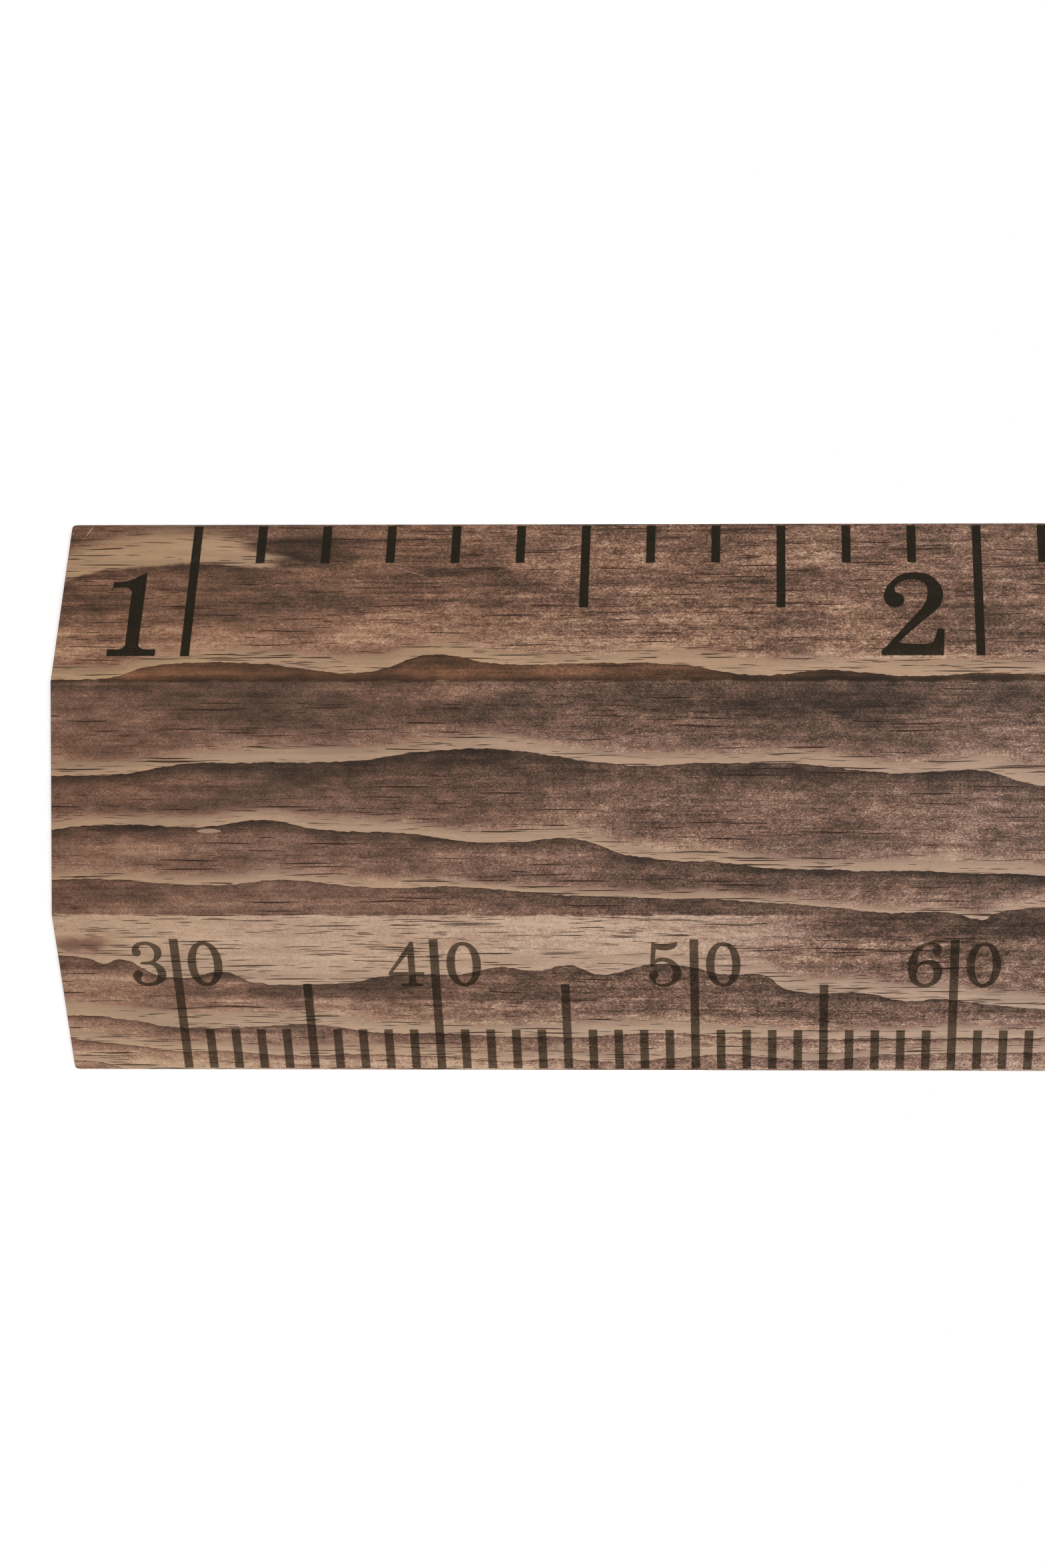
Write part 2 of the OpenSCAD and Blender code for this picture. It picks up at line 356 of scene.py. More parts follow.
def smooth_outline(outline):
    """Points of a closed centripetal spline through an outline, broken at its corners."""
    count = len(outline)
    points = [Vector(point[:2]) / 1000 for point in outline]
    corner = [len(point) > 2 for point in outline]
    smooth = []
    for i in range(count):
        before, start, end, after = (points[(i + k) % count] for k in (-1, 0, 1, 2))
        starts_sharp, ends_sharp = corner[i], corner[(i + 1) % count]
        if starts_sharp:
            before = 2 * start - end
        if ends_sharp:
            after = 2 * end - start
        knots = [0.0]
        for a, b in ((before, start), (start, end), (end, after)):
            knots.append(knots[-1] + math.sqrt(max((b - a).length, 1e-6)))
        steps = 1 if starts_sharp and ends_sharp else SPLINE_STEPS
        for step in range(steps):
            t = knots[1] + (knots[2] - knots[1]) * step / steps
            a1 = between(before, start, knots[0], knots[1], t)
            a2 = between(start, end, knots[1], knots[2], t)
            a3 = between(end, after, knots[2], knots[3], t)
            b1 = between(a1, a2, knots[0], knots[2], t)
            b2 = between(a2, a3, knots[1], knots[3], t)
            smooth.append(between(b1, b2, knots[1], knots[2], t))
    return smooth


# Sizes and colours that a user may change


def colour_property(name, description, default):
    """A colour that a user may change."""
    return FloatVectorProperty(
        name=name, description=description, default=default, subtype="COLOR", size=3, min=0, max=1
    )


def share_property(name, description, default):
    """A number from 0 to 1 that a user may change."""
    return FloatProperty(
        name=name, description=description, default=default, subtype="FACTOR", min=0, max=1
    )


def length_property(name, description, default):
    """A length, in metres, that a user may change."""
    return FloatProperty(
        name=name, description=description, default=default, unit="LENGTH", precision=5, min=0
    )


def power_property(name, description, default):
    """A lamp's power, in watts, that a user may change."""
    return FloatProperty(name=name, description=description, default=default, unit="POWER", min=0)


class BoardFinish(bpy.types.PropertyGroup):
    """Colours and strengths of the stain on the board."""

    char: colour_property("Deepest stain", "Darkest fibres of the darkest stain", tone(38, 29, 23))
    soot: colour_property("Darkest stain", "Where the stain soaked in most", tone(58, 45, 36))
    umber: colour_property("Dark stain", "Start of a growth ring", tone(82, 64, 53))
    walnut: colour_property("Middle stain", "Middle of a growth ring", tone(109, 84, 72))
    fawn: colour_property("Light stain", "Before the end of a growth ring", tone(134, 105, 91))
    sand: colour_property("Lightest stain", "Where the stain was wiped thin", tone(160, 129, 113))
    bare: colour_property("Bare wood", "Where the stain was planed off", tone(186, 156, 135))
    pale: colour_property("Pale wood", "Palest fibres of the bare wood", tone(208, 181, 162))
    cream: colour_property("Late wood", "Hard end of a growth ring", tone(173, 145, 125))
    streak: colour_property("Streaks", "Stain held in open grain", tone(42, 26, 17))
    scratch: colour_property("Scratches", "Fibres torn in a scratch", tone(178, 147, 126))
    warmth: share_property("Warmth", "How much browner the wood is at its bottom end", 0.85)
    fibre: share_property("Fibre", "Strength of the fine mottle in the stain", 0.6)
    roughness: share_property("Roughness", "Roughness of the finished wood", 0.6)


class PrintFinish(bpy.types.PropertyGroup):
    """Ink of the marks and numerals."""

    ink: colour_property("Ink", "Colour of the ink", tone(26, 22, 10))
    foot_cover: share_property("Foot scale cover", "How well the ink hides the wood", 0.97)
    centimetre_cover: share_property("Centimetre scale cover", "How well the ink hides the wood", 0.67)
    roughness: share_property("Roughness", "Roughness of the ink", 0.65)


class NumeralSizes(bpy.types.PropertyGroup):
    """Sizes and places of the numerals."""

    foot_height: length_property("Foot numeral", "Height of a foot numeral on the bevel", 33.4 * MM)
    foot_gap: length_property("Foot gap", "From a foot numeral to its line", 11.8 * MM)
    foot_gap_one: length_property(
        "Gap of the one", "From the first foot's numeral to its line", 9.8 * MM
    )
    centimetre_height: length_property(
        "Centimetre numeral", "Height of a centimetre numeral on the bevel", 18.1 * MM
    )
    centimetre_gap: length_property("Centimetre gap", "From a numeral's middle to its line", 11.2 * MM)
    centimetre_top: length_property(
        "Centimetre top", "From a line's inner end to the numerals' tops", 1.1 * MM
    )
    spacing: length_property("Spacing", "Between two numerals side by side", 1.5 * MM)
    film: length_property("Film", "Thickness of the print", 0.12 * MM)


class HangerFinish(bpy.types.PropertyGroup):
    """Metal of the hanger plates and sizes of their screws."""

    zinc: colour_property("Zinc", "Colour of the plates", tone(196, 199, 203))
    steel: colour_property("Steel", "Colour of the screws", tone(178, 180, 184))
    head_radius: length_property("Head radius", "Radius of a screw's head", 2.8 * MM)
    core_radius: length_property("Core radius", "Radius at the bottom of the thread", 1.0 * MM)
    crest_radius: length_property("Crest radius", "Radius at the top of the thread", 1.45 * MM)
    pitch: length_property("Pitch", "Rise of the thread in one turn", 1.25 * MM)
    screw_length: length_property("Screw length", "Length of a screw with its head", 14.0 * MM)
    spacing: length_property("Screw spacing", "Between the two screws of a plate", 34.0 * MM)


class StageSettings(bpy.types.PropertyGroup):
    """Camera, floor and light."""

    lens: FloatProperty(
        name="Lens", description="Focal length of the camera", default=21.986, unit="CAMERA", min=1
    )
    front_lamp: power_property("Front lamp", "Power of the lamp before the ruler", 60.0)
    back_lamp: power_property("Back lamp", "Power of the lamp behind the ruler", 60.0)
    sky: share_property("Sky", "Strength of the even light from all sides", 0.55)
    floor_size: length_property("Floor", "Width of the floor", 16.0)


# Wiring of nodes


class Wiring:
    """Adds nodes to a tree and joins them. Its helpers take sockets or plain values."""

    def __init__(self, tree):
        self.tree = tree

    def node(self, kind, inputs=None, **settings):
        """A new node with its settings and its inputs, given by name or number."""
        made = self.tree.nodes.new(kind)
        for name, value in settings.items():
            setattr(made, name, value)
        for key, value in (inputs or {}).items():
            self.feed(made.inputs[key], value)
        return made

    def feed(self, socket, value):
        """Links another node's socket to a socket, or sets the socket to a plain value."""
        if isinstance(value, bpy.types.NodeSocket):
            self.tree.links.new(value, socket)
        else:
            socket.default_value = value

    def math(self, operation, *values):
        """One step of maths with numbers."""
        return self.node("ShaderNodeMath", dict(enumerate(values)), operation=operation).outputs[0]

    def vector_math(self, operation, *values, output=0):
        """One step of maths with vectors. The output "Value" gives a number."""
        made = self.node("ShaderNodeVectorMath", dict(enumerate(values)), operation=operation)
        return made.outputs[output]

    def add(self, *values):
        """The sum of all values."""
        total = values[0]
        for value in values[1:]:
            total = self.math("ADD", total, value)
        return total

    def times(self, a, b):
        return self.math("MULTIPLY", a, b)

    def times_add(self, a, b, c):
        return self.math("MULTIPLY_ADD", a, b, c)

    def minus(self, a, b):
        return self.math("SUBTRACT", a, b)

    def step(self, value, low, high, to_low=0.0, to_high=1.0):
        """Runs smoothly from to_low at low to to_high at high."""
        made = self.node(
            "ShaderNodeMapRange",
            {"Value": value, "From Min": low, "From Max": high, "To Min": to_low, "To Max": to_high},
            interpolation_type="SMOOTHSTEP",
        )
        return made.outputs["Result"]

    def scaled(self, vector, factors):
        """A vector times one factor along each axis."""
        return self.vector_math("MULTIPLY", vector, factors)

    def shifted(self, vector, by):
        """The sum of two vectors."""
        return self.vector_math("ADD", vector, by)

    def vector(self, x=0.0, y=0.0, z=0.0):
        """A vector made of three numbers."""
        return self.node("ShaderNodeCombineXYZ", {"X": x, "Y": y, "Z": z}).outputs[0]

    def parts(self, vector):
        """The three numbers of a vector or colour."""
        return self.node("ShaderNodeSeparateXYZ", {0: vector}).outputs[:]

    def place_in_mm(self):
        """The place in the object, in millimetres."""
        return self.scaled(self.node("ShaderNodeTexCoord").outputs["Object"], (1 / MM,) * 3)

    def noise(self, vector, size, detail=0.0, roughness=0.5, distortion=0.0):
        """Noise about 0, whose features have the given size along each axis."""
        stretched = self.scaled(vector, tuple(1 / s for s in size))
        made = self.node(
            "ShaderNodeTexNoise",
            {"Vector": stretched, "Scale": 1.0, "Detail": detail, "Roughness": roughness,
             "Distortion": distortion},
        )
        return self.minus(made.outputs[0], 0.5)

    def line_noise(self, value, size, detail=0.0):
        """Noise about 0 along one value."""
        made = self.node(
            "ShaderNodeTexNoise", {"W": self.times(value, 1 / size), "Scale": 1.0, "Detail": detail},
            noise_dimensions="1D",
        )
        return self.minus(made.outputs[0], 0.5)

    def mix(self, factor, a, b, blend="MIX"):
        """Colour a mixed with colour b, by the share that factor gives."""
        made = self.node("ShaderNodeMix", {0: factor}, data_type="RGBA", blend_type=blend)
        for number, colour in ((6, a), (7, b)):
            plain = not isinstance(colour, bpy.types.NodeSocket)
            self.feed(made.inputs[number], (*colour, 1.0) if plain else colour)
        return made.outputs[2]

    def tinted(self, colour, tint):
        """A colour times a tint."""
        return self.mix(1.0, colour, tint, "MULTIPLY")

    def ramp(self, value, stops):
        """Colours that run on evenly between the stops, given as (place, colour)."""
        made = self.node("ShaderNodeValToRGB", {"Fac": value})
        elements = made.color_ramp.elements
        while len(elements) > 1:
            elements.remove(elements[-1])
        elements[0].position, elements[0].color = stops[0][0], (*stops[0][1], 1.0)
        for position, colour in stops[1:]:
            elements.new(position).color = (*colour, 1.0)
        return made.outputs["Color"]

    def curve(self, value, points, span, reach):
        """A smooth line through points, whose x run over span and y from -reach to reach."""
        low, high = span
        made = self.node("ShaderNodeFloatCurve", {"Value": self.step_straight(value, low, high)})
        line = made.mapping.curves[0].points
        places = [((x - low) / (high - low), 0.5 + y / (2 * reach)) for x, y in points]
        line[0].location, line[1].location = places[0], places[-1]
        for place in places[1:-1]:
            line.new(*place)
        made.mapping.update()
        return self.times_add(made.outputs[0], 2 * reach, -reach)

    def step_straight(self, value, low, high):
        """Runs evenly from 0 at low to 1 at high."""
        made = self.node("ShaderNodeMapRange", {"Value": value, "From Min": low, "From Max": high})
        return made.outputs["Result"]

    def group(self, tree, inputs=None):
        """A node that holds a node group."""
        return self.node("ShaderNodeGroup", inputs, node_tree=tree)


def new_group(name, inputs, outputs, kind="ShaderNodeTree"):
    """A node group with named sockets, and its wiring, input node and output node."""
    tree = bpy.data.node_groups.new(name, kind)
    for direction, sockets in (("INPUT", inputs), ("OUTPUT", outputs)):
        for socket_name, socket_kind in sockets:
            tree.interface.new_socket(
                socket_name, in_out=direction, socket_type=f"NodeSocket{socket_kind}"
            )
    wiring = Wiring(tree)
    return tree, wiring, wiring.node("NodeGroupInput"), wiring.node("NodeGroupOutput")


def set_modifier_input(modifier, name, value):
    """Sets an input of a Geometry Nodes modifier by its socket's identifier."""
    for item in modifier.node_group.interface.items_tree:
        if item.item_type == "SOCKET" and item.in_out == "INPUT" and item.name == name:
            modifier[item.identifier] = value
            return
    raise KeyError(f"{modifier.node_group.name} has no input named {name}")


# Wood


def cloud_group():
    """A soft oval about a centre, 1 in its middle and 0 outside."""
    tree, w, source, sink = new_group(
        "Stain cloud",
        [("Point", "Vector"), ("Centre", "Vector"), ("Size", "Vector")],
        [("Cover", "Float")],
    )
    away = w.vector_math("SUBTRACT", source.outputs["Point"], source.outputs["Centre"])
    relative = w.vector_math("DIVIDE", away, source.outputs["Size"])
    distance = w.vector_math("LENGTH", relative, output="Value")
    w.feed(sink.inputs["Cover"], w.step(distance, 1.25, 0.35))
    return tree


def scratch_group():
    """A thin line between two places, 1 on it and 0 beside it."""
    tree, w, source, sink = new_group(
        "Scratch",
        [("Point", "Vector"), ("From", "Vector"), ("To", "Vector"), ("Half width", "Float")],
        [("Cover", "Float")],
    )
    along = w.vector_math("SUBTRACT", source.outputs["To"], source.outputs["From"])
    away = w.vector_math("SUBTRACT", source.outputs["Point"], source.outputs["From"])
    share = w.math("DIVIDE", w.vector_math("DOT_PRODUCT", away, along, output="Value"),
                   w.vector_math("DOT_PRODUCT", along, along, output="Value"))
    share = w.math("MINIMUM", w.math("MAXIMUM", share, 0.0), 1.0)
    nearest = w.node("ShaderNodeVectorMath", {0: along, "Scale": share}, operation="SCALE")
    beside = w.vector_math("SUBTRACT", away, nearest.outputs[0])
    distance = w.vector_math("LENGTH", beside, output="Value")
    # Widest in its middle and tapered to both ends
    taper = w.times(w.times(share, 4.0), w.minus(1.0, share))
    half_width = w.times(source.outputs["Half width"], w.times_add(taper, 0.8, 0.2))
    relative = w.math("DIVIDE", distance, half_width)
    w.feed(sink.inputs["Cover"], w.step(relative, 1.3, 0.6))
    return tree


# The noises of the wood: their shift, the size of their features across, through and along the
# board in millimetres, and their detail, roughness and distortion
Grain = namedtuple("Grain", "shift size detail roughness distortion")
GRAINS = {
    "wool": Grain((0, 0, 0), (1.0, 1.0, 1.9), 2.0, 1.0, 0.0),
    "hair": Grain((11, 3, 1), (0.34, 0.34, 0.75), 0.0, 0.5, 0.6),
    "mottle": Grain((31, 7, 5), (3.2, 3.2, 7.5), 1.0, 0.7, 0.4),
    "thread": Grain((3, 57, 11), (0.75, 0.75, 42), 1.0, 0.7, 0.0),
    "band": Grain((8, 2, 3), (3.6, 3.6, 85), 2.0, 0.7, 0.0),
    "smoke": Grain((17, 9, 23), (6.5, 6.5, 16), 2.0, 0.6, 0.5),
    "cloud": Grain((5, 0, 40), (13, 13, 46), 2.0, 0.6, 0.0),
    "bundle": Grain((2, 4, 6), (2.6, 2.6, 34), 1.0, 0.5, 0.0),
}
# How strongly the two finest noises show in the stain
WOOL_GAIN = 1.8
HAIR_GAIN = 1.3
# The levels of the deepest and of the palest shade of stain
DEEPEST_LEVEL = -0.2
PALEST_LEVEL = 1.2
# Larger than any distance between two places in the wood
FAR = 999.0
# What the wood's colour is multiplied by in some places
WARM_STAIN_TINT = (1.03, 0.87, 0.71)
WARM_BARE_TINT = (1.0, 0.92, 0.73)
RIDGE_RING_TINT = (0.94, 0.84, 0.7)
LOW_BEVEL_TINT = (1.1, 1.13, 1.16)
END_GRAIN_TINT = (0.45, 0.42, 0.4)
UNDER_INK_TINT = (0.55, 0.52, 0.48)


class Pine:
    """The board's wood, worked out from the place in it, so its pattern runs on round every edge.

    Lengths are in millimetres, noises lie about 0, and the other fields run from 0 to 1."""

    def __init__(self, wiring, finish):
        self.w = w = wiring
        self.finish = finish
        self.point = w.place_in_mm()
        self.x, self.y, self.z = w.parts(self.point)
        _, facing_y, facing_z = w.parts(w.node("ShaderNodeTexCoord").outputs["Normal"])
        self.front = w.step(facing_y, -0.35, -0.8)
        self.end_grain = w.step(w.math("ABSOLUTE", facing_z), 0.6, 0.85)
        self.read_grains()
        self.read_facets()
        self.read_rings()

    def read_grains(self):
        """Each noise of GRAINS, under its own name."""
        for name, grain in GRAINS.items():
            moved = self.w.shifted(self.point, grain.shift)
            field = self.w.noise(moved, grain.size, grain.detail, grain.roughness, grain.distortion)
            setattr(self, name, field)

    def read_facets(self):
        """Where the place is on the front's facets, with slightly ragged ridges."""
        w = self.w
        ragged_x = w.times_add(self.mottle, 1.6, self.x)
        on_bevel = w.step(w.math("ABSOLUTE", ragged_x), RIDGE - 0.4, RIDGE + 0.5)
        self.on_bevel = w.times(on_bevel, self.front)
        self.foot_side = w.math("LESS_THAN", self.x, 0.0)
        self.foot_bevel = w.times(self.on_bevel, self.foot_side)
        self.low_bevel = w.minus(self.on_bevel, self.foot_bevel)

    def ring_place(self):
        """How far out in the tree a place is, as the ring lines count it."""
        w = self.w
        sway = w.times(w.noise(self.point, (22, 22, 26)), 2.2)
        ripple = w.times(w.noise(self.point, (2.8, 2.8, 4.2), 1.0, 0.7), 1.3)
        across = w.add(self.x, sway, ripple, -PITH_X)
        depth = w.minus(self.y, PITH_Y)
        square = w.add(w.times(across, across), w.times(depth, depth), -(FACE_Y - PITH_Y) ** 2)
        place = w.add(w.math("SQRT", w.math("MAXIMUM", square, 0.0)), PITH_X)
        beyond = w.step(self.z, DRAWN_LENGTH - 60, DRAWN_LENGTH + 240)
        wander = w.times(w.line_noise(self.z, 340, 1.0), 52.0)
        far_up = w.shifted(self.point, (0.0, 0.0, 900.0))
        own_way = w.times(w.noise(far_up, (34, 60, 150), 1.0), 34.0)
        return w.times_add(w.add(wander, own_way), beyond, place)

    def read_rings(self):
        """Distances from the ring line before the place and to the one after it, and the ring's
        number, levels and pale strip."""
        w = self.w
        self.place = self.ring_place()
        height = w.step_straight(self.z, 0.0, DRAWN_LENGTH)
        self.drawn_height = w.times(height, DRAWN_LENGTH)
        self.before, self.after, self.number = FAR, FAR, 0.0
        self.start, self.middle = RING_LINES[0].start, RING_LINES[0].middle
        strip_low, strip_high = RING_LINES[0].strip_low, RING_LINES[0].strip_high
        for k, line in enumerate(RING_LINES):
            last = RING_LINES[max(k - 1, 0)]
            following = RING_LINES[min(k + 1, len(RING_LINES) - 1)]
            gap = w.minus(self.place, self.drawn_curve(line.points))
            past = w.math("GREATER_THAN", gap, 0.0)
            self.before = w.math("MINIMUM", self.before, w.times_add(past, -FAR, w.add(gap, FAR)))
            self.after = w.math("MINIMUM", self.after, w.times_add(past, FAR, w.times(gap, -1.0)))
            self.number = w.add(self.number, past)
            self.start = w.times_add(past, line.start - last.start, self.start)
            self.middle = w.times_add(past, line.middle - last.middle, self.middle)
            strip_low = w.times_add(past, following.strip_low - line.strip_low, strip_low)
            strip_high = w.times_add(past, following.strip_high - line.strip_high, strip_high)
        self.share = w.math("DIVIDE", self.before, w.add(self.before, self.after))
        self.ridge_ring = w.times(self.is_ring(RIDGE_RING), self.foot_bevel)
        self.ring_point = w.vector(w.times(self.number, 7.3), 0.0, self.z)
        strip = w.times_add(w.minus(strip_high, strip_low), height, strip_low)
        self.strip = w.times(strip, w.times_add(w.noise(self.ring_point, (1, 1, 46)), 1.3, 1.0))
        streaky = w.add(w.times(self.band, 7.0), w.times(self.thread, 4.0))
        self.by_strip = w.step(w.add(self.after, streaky, w.times(self.strip, -1.0)), 4.5, 0.0)

    def is_ring(self, number):
        """1 in the ring of the given number and 0 in all others."""
        return self.w.math("COMPARE", self.number, float(number), 0.1)

    def drawn_curve(self, points):
        """Place of a line, drawn through points along the bottom stretch of the board."""
        return self.w.curve(self.drawn_height, points, (0.0, DRAWN_LENGTH), LINE_REACH)

    def ring_stain(self):
        """Level of the stain through a ring, dark past its line and lighter towards the next."""
        w = self.w
        to_middle = w.step(self.share, -0.1, 0.34)
        to_end = w.step(self.share, 0.6, 1.04)
        level = w.times_add(w.minus(self.middle, self.start), to_middle, self.start)
        level = w.times_add(w.minus(RING_END, self.middle), to_end, level)
        along = w.times(w.noise(self.ring_point, (1, 1, 95), 1.0), 0.45)
        bands = w.times(self.band, w.times_add(self.on_bevel, 0.45, 0.45))
        clouds = w.add(w.times(self.cloud, 0.8), w.times(self.smoke, 0.5))
        return w.add(level, along, bands, clouds, w.times(self.by_strip, 0.16))

    def planed_bare(self):
        """Share of bare wood, where the centimetre bevel was planed after staining."""
        w = self.w
        ragged_height = w.times_add(self.cloud, 130.0, w.times_add(self.x, 0.9, self.z))
        bare_end = w.step(ragged_height, BARE_END + 90, BARE_END)
        return w.times(w.times(self.low_bevel, self.is_ring(BARE_RING)), bare_end)

    def stain_clouds(self):
        """Sum of the changes that the stain clouds make to the front."""
        w = self.w
        across, along = w.times_add(self.mottle, 4.0, self.x), w.times_add(self.cloud, 26.0, self.z)
        fuzzy = w.vector(across, 0.0, along)
        tree = cloud_group()
        total = 0.0
        for height, place, half_length, half_width, change in STAIN_CLOUDS:
            soft = w.group(tree, {
                "Point": fuzzy, "Centre": (place, 0.0, height), "Size": (half_width, 1.0, half_length),
            })
            total = w.times_add(soft.outputs[0], change, total)
        return w.times(total, self.front)

    def hard_patch(self):
        """Share of hard wood in the patch on the foot bevel, and the shade below its border."""
        w = self.w
        border = w.minus(self.drawn_curve(PATCH_BORDER), self.place)
        ragged_height = w.times_add(self.band, 20.0, self.z)
        width = w.step(ragged_height, PATCH_LENGTH, PATCH_LENGTH * 0.7, 0.0, PATCH_WIDTH)
        ragged_border = w.add(border, self.fuzz, w.times(self.cloud, 4.0))
        across = w.step(ragged_border, w.add(width, 1.8), w.minus(width, 2.6))
        along = w.step(ragged_height, PATCH_LENGTH, PATCH_LENGTH - 6.0)
        patch = w.times(w.times(w.step(border, -0.5, 0.6), across), along)
        below = w.times(w.step(border, -6.0, 0.0), w.step(border, 0.6, -0.3))
        shade = w.times(w.times(below, w.step(self.z, 36, 10)), self.foot_bevel)
        return w.times(patch, self.foot_bevel), shade

    def read_stain(self):
        """Level of the stain without its fine pattern, and the share of hard late wood."""
        w = self.w
        self.bare = self.planed_bare()
        bare_level = w.add(BARE_LEVEL, w.times(self.cloud, 0.3), w.times(self.band, 0.3))
        stained = w.times(self.ring_stain(), w.minus(1.0, self.bare))
        clouds = self.stain_clouds()
        self.fuzz = w.add(w.times(self.wool, 1.4), w.times(self.mottle, 1.4), w.times(self.band, 4.5),
                          w.times(self.thread, 3.2))
        self.patch, patch_shade = self.hard_patch()
        late = w.step(w.add(self.after, self.fuzz), w.add(self.strip, 1.6), w.minus(self.strip, 1.2))
        late = w.times(w.math("MAXIMUM", late, self.patch), w.times_add(self.bare, -0.5, 1.0))
        self.late = w.times(late, w.step(clouds, DEEP_CLOUD - 0.1, DEEP_CLOUD + 0.1))
        by_ridge = w.times(w.step(self.x, -RIDGE - 3.0, -RIDGE), self.ridge_ring)
        self.stain = w.add(
            w.times_add(self.bare, bare_level, stained), clouds, w.times(patch_shade, -0.14),
            w.times(by_ridge, -0.36),
        )

    def read_fine(self):
        """Fine pattern, stronger up the board and weaker where the wood is dark or hard."""
        w = self.w
        pale_hair = w.math("MAXIMUM", w.minus(self.hair, 0.12), 0.0)
        self.fine = w.add(w.times(self.wool, WOOL_GAIN), w.times(self.hair, HAIR_GAIN),
                          w.times(pale_hair, 0.8), w.times(self.mottle, 1.0), w.times(self.thread, 0.6))
        lively = w.times_add(w.step_straight(self.stain, 0.0, 0.5), 0.4, 0.7)
        lively = w.times(lively, w.step(self.z, 60, 250, 0.68, 1.2))
        lively = w.times(lively, w.times_add(self.late, -0.6, 1.0))
        lively = w.times(lively, w.times_add(self.ridge_ring, -0.45, 1.0))
        lively = w.times(lively, w.times_add(self.by_strip, -0.45, 1.0))
        lively = w.times(lively, w.times_add(self.bare, w.step(self.z, 80, 260, -0.55, -0.4), 1.0))
        self.lively = w.times(lively, self.finish.fibre)

    def late_colour(self):
        """Hard late wood: pale, fine-grained, and washed with stain here and there."""
        w = self.w
        cream = tuple(self.finish.cream)
        dim, bright = tuple(c * 0.84 for c in cream), tuple(c * 1.13 for c in cream)
        grain = w.add(w.times(self.fine, 0.5), w.times(self.thread, 1.4))
        near_line = w.step(w.math("DIVIDE", self.after, self.strip), 1.0, 0.1, 0.3, 1.0)
        near_line = w.math("MAXIMUM", near_line, w.times(self.patch, 0.75))
        colour = w.mix(w.add(grain, near_line), dim, bright)
        colour = w.mix(self.low_bevel, colour, w.tinted(colour, LOW_BEVEL_TINT))
        wash = w.step(w.add(self.cloud, w.times(self.band, 0.7)), 0.0, -0.24)
        return w.mix(w.times(wash, 0.4), colour, tuple(c * 0.66 for c in cream))

    def warmth(self):
        """Browner towards the bottom end and on the foot bevel, greyer elsewhere."""
        w = self.w
        drift = w.times(w.line_noise(w.add(self.z, 500.0), 170, 1.0), 1.1)
        warm = w.add(0.14, w.times(w.step(self.z, 310, 40), 0.6), w.times(self.foot_bevel, 0.42),
                     w.times(self.bare, -0.15), drift, w.times(self.cloud, 0.8))
        return w.times(w.math("MINIMUM", w.math("MAXIMUM", warm, 0.0), 1.2), self.finish.warmth)

    def wood_colour(self):
        """Stained and hard wood with their warmth, without open grain and scratches."""
        w, finish = self.w, self.finish
        level = w.times_add(self.fine, self.lively, self.stain)
        shades = (finish.char, finish.soot, finish.umber, finish.walnut, finish.fawn, finish.sand,
                  finish.bare, finish.pale)
        stops = [(k / (len(shades) - 1), tuple(shade)) for k, shade in enumerate(shades)]
        colour = w.ramp(w.step_straight(level, DEEPEST_LEVEL, PALEST_LEVEL), stops)
        colour = w.mix(self.late, colour, self.late_colour())
        # Warm stain is brown and warm bare wood is golden
        golden = w.math("MAXIMUM", w.step(level, 0.7, 1.0), self.late)
        tint = w.mix(golden, WARM_STAIN_TINT, WARM_BARE_TINT)
        colour = w.mix(self.warmth(), colour, w.tinted(colour, tint))
        return w.mix(self.ridge_ring, colour, w.tinted(colour, RIDGE_RING_TINT))

    def open_grain(self):
        """Fine dark lines along the grain, in bundles, mostly in the light half of a ring."""
        w = self.w
        bent = w.shifted(self.point, w.vector(w.times(self.cloud, 2.4), 0.0, 0.0))
        zone = w.math("MAXIMUM", w.times(w.step(self.share, 0.1, 0.6), 0.5), self.by_strip)
        zone = w.math("MAXIMUM", zone, self.bare)
        zone = w.times(zone, w.step(self.bundle, -0.16, 0.08))
        long_lines = streaks(w, bent, (0.64, 1.0, 30), w.times_add(zone, 0.78, 0.05), 0.42)
        elsewhere = w.shifted(bent, (13.0, 5.0, 9.0))
        short_lines = streaks(w, elsewhere, (0.52, 0.9, 10), w.times_add(zone, 0.5, 0.06), 0.4)
        return w.math("MAXIMUM", long_lines, w.times(short_lines, 0.85))

    def ridge_line(self):
        """A thin dark line on the ridge of the foot bevel, clear at its bottom end."""
        w = self.w
        off = w.add(w.math("ABSOLUTE", self.x), -RIDGE, w.times(self.mottle, 0.5))
        line = w.step(w.math("ABSOLUTE", off), 0.75, 0.2)
        line = w.times(line, w.times(self.foot_side, self.front))
        strength = w.add(w.step(self.z, 130, 95, 0.15, 0.5), w.times(self.cloud, 0.5))
        return w.times(line, strength)

    def scratched(self, scratches):
        """Cover of scratches, given as in SCRATCHES."""
        w = self.w
        tree = scratch_group()
        flat_point = w.vector(self.x, 0.0, self.z)
        cover = 0.0
        for (low, place_low), (high, place_high), half_width in scratches:
            line = w.group(tree, {
                "Point": flat_point, "From": (place_low, 0.0, low), "To": (place_high, 0.0, high),
                "Half width": half_width,
            })
            cover = w.math("MAXIMUM", cover, line.outputs[0])
        return w.times(cover, self.front)

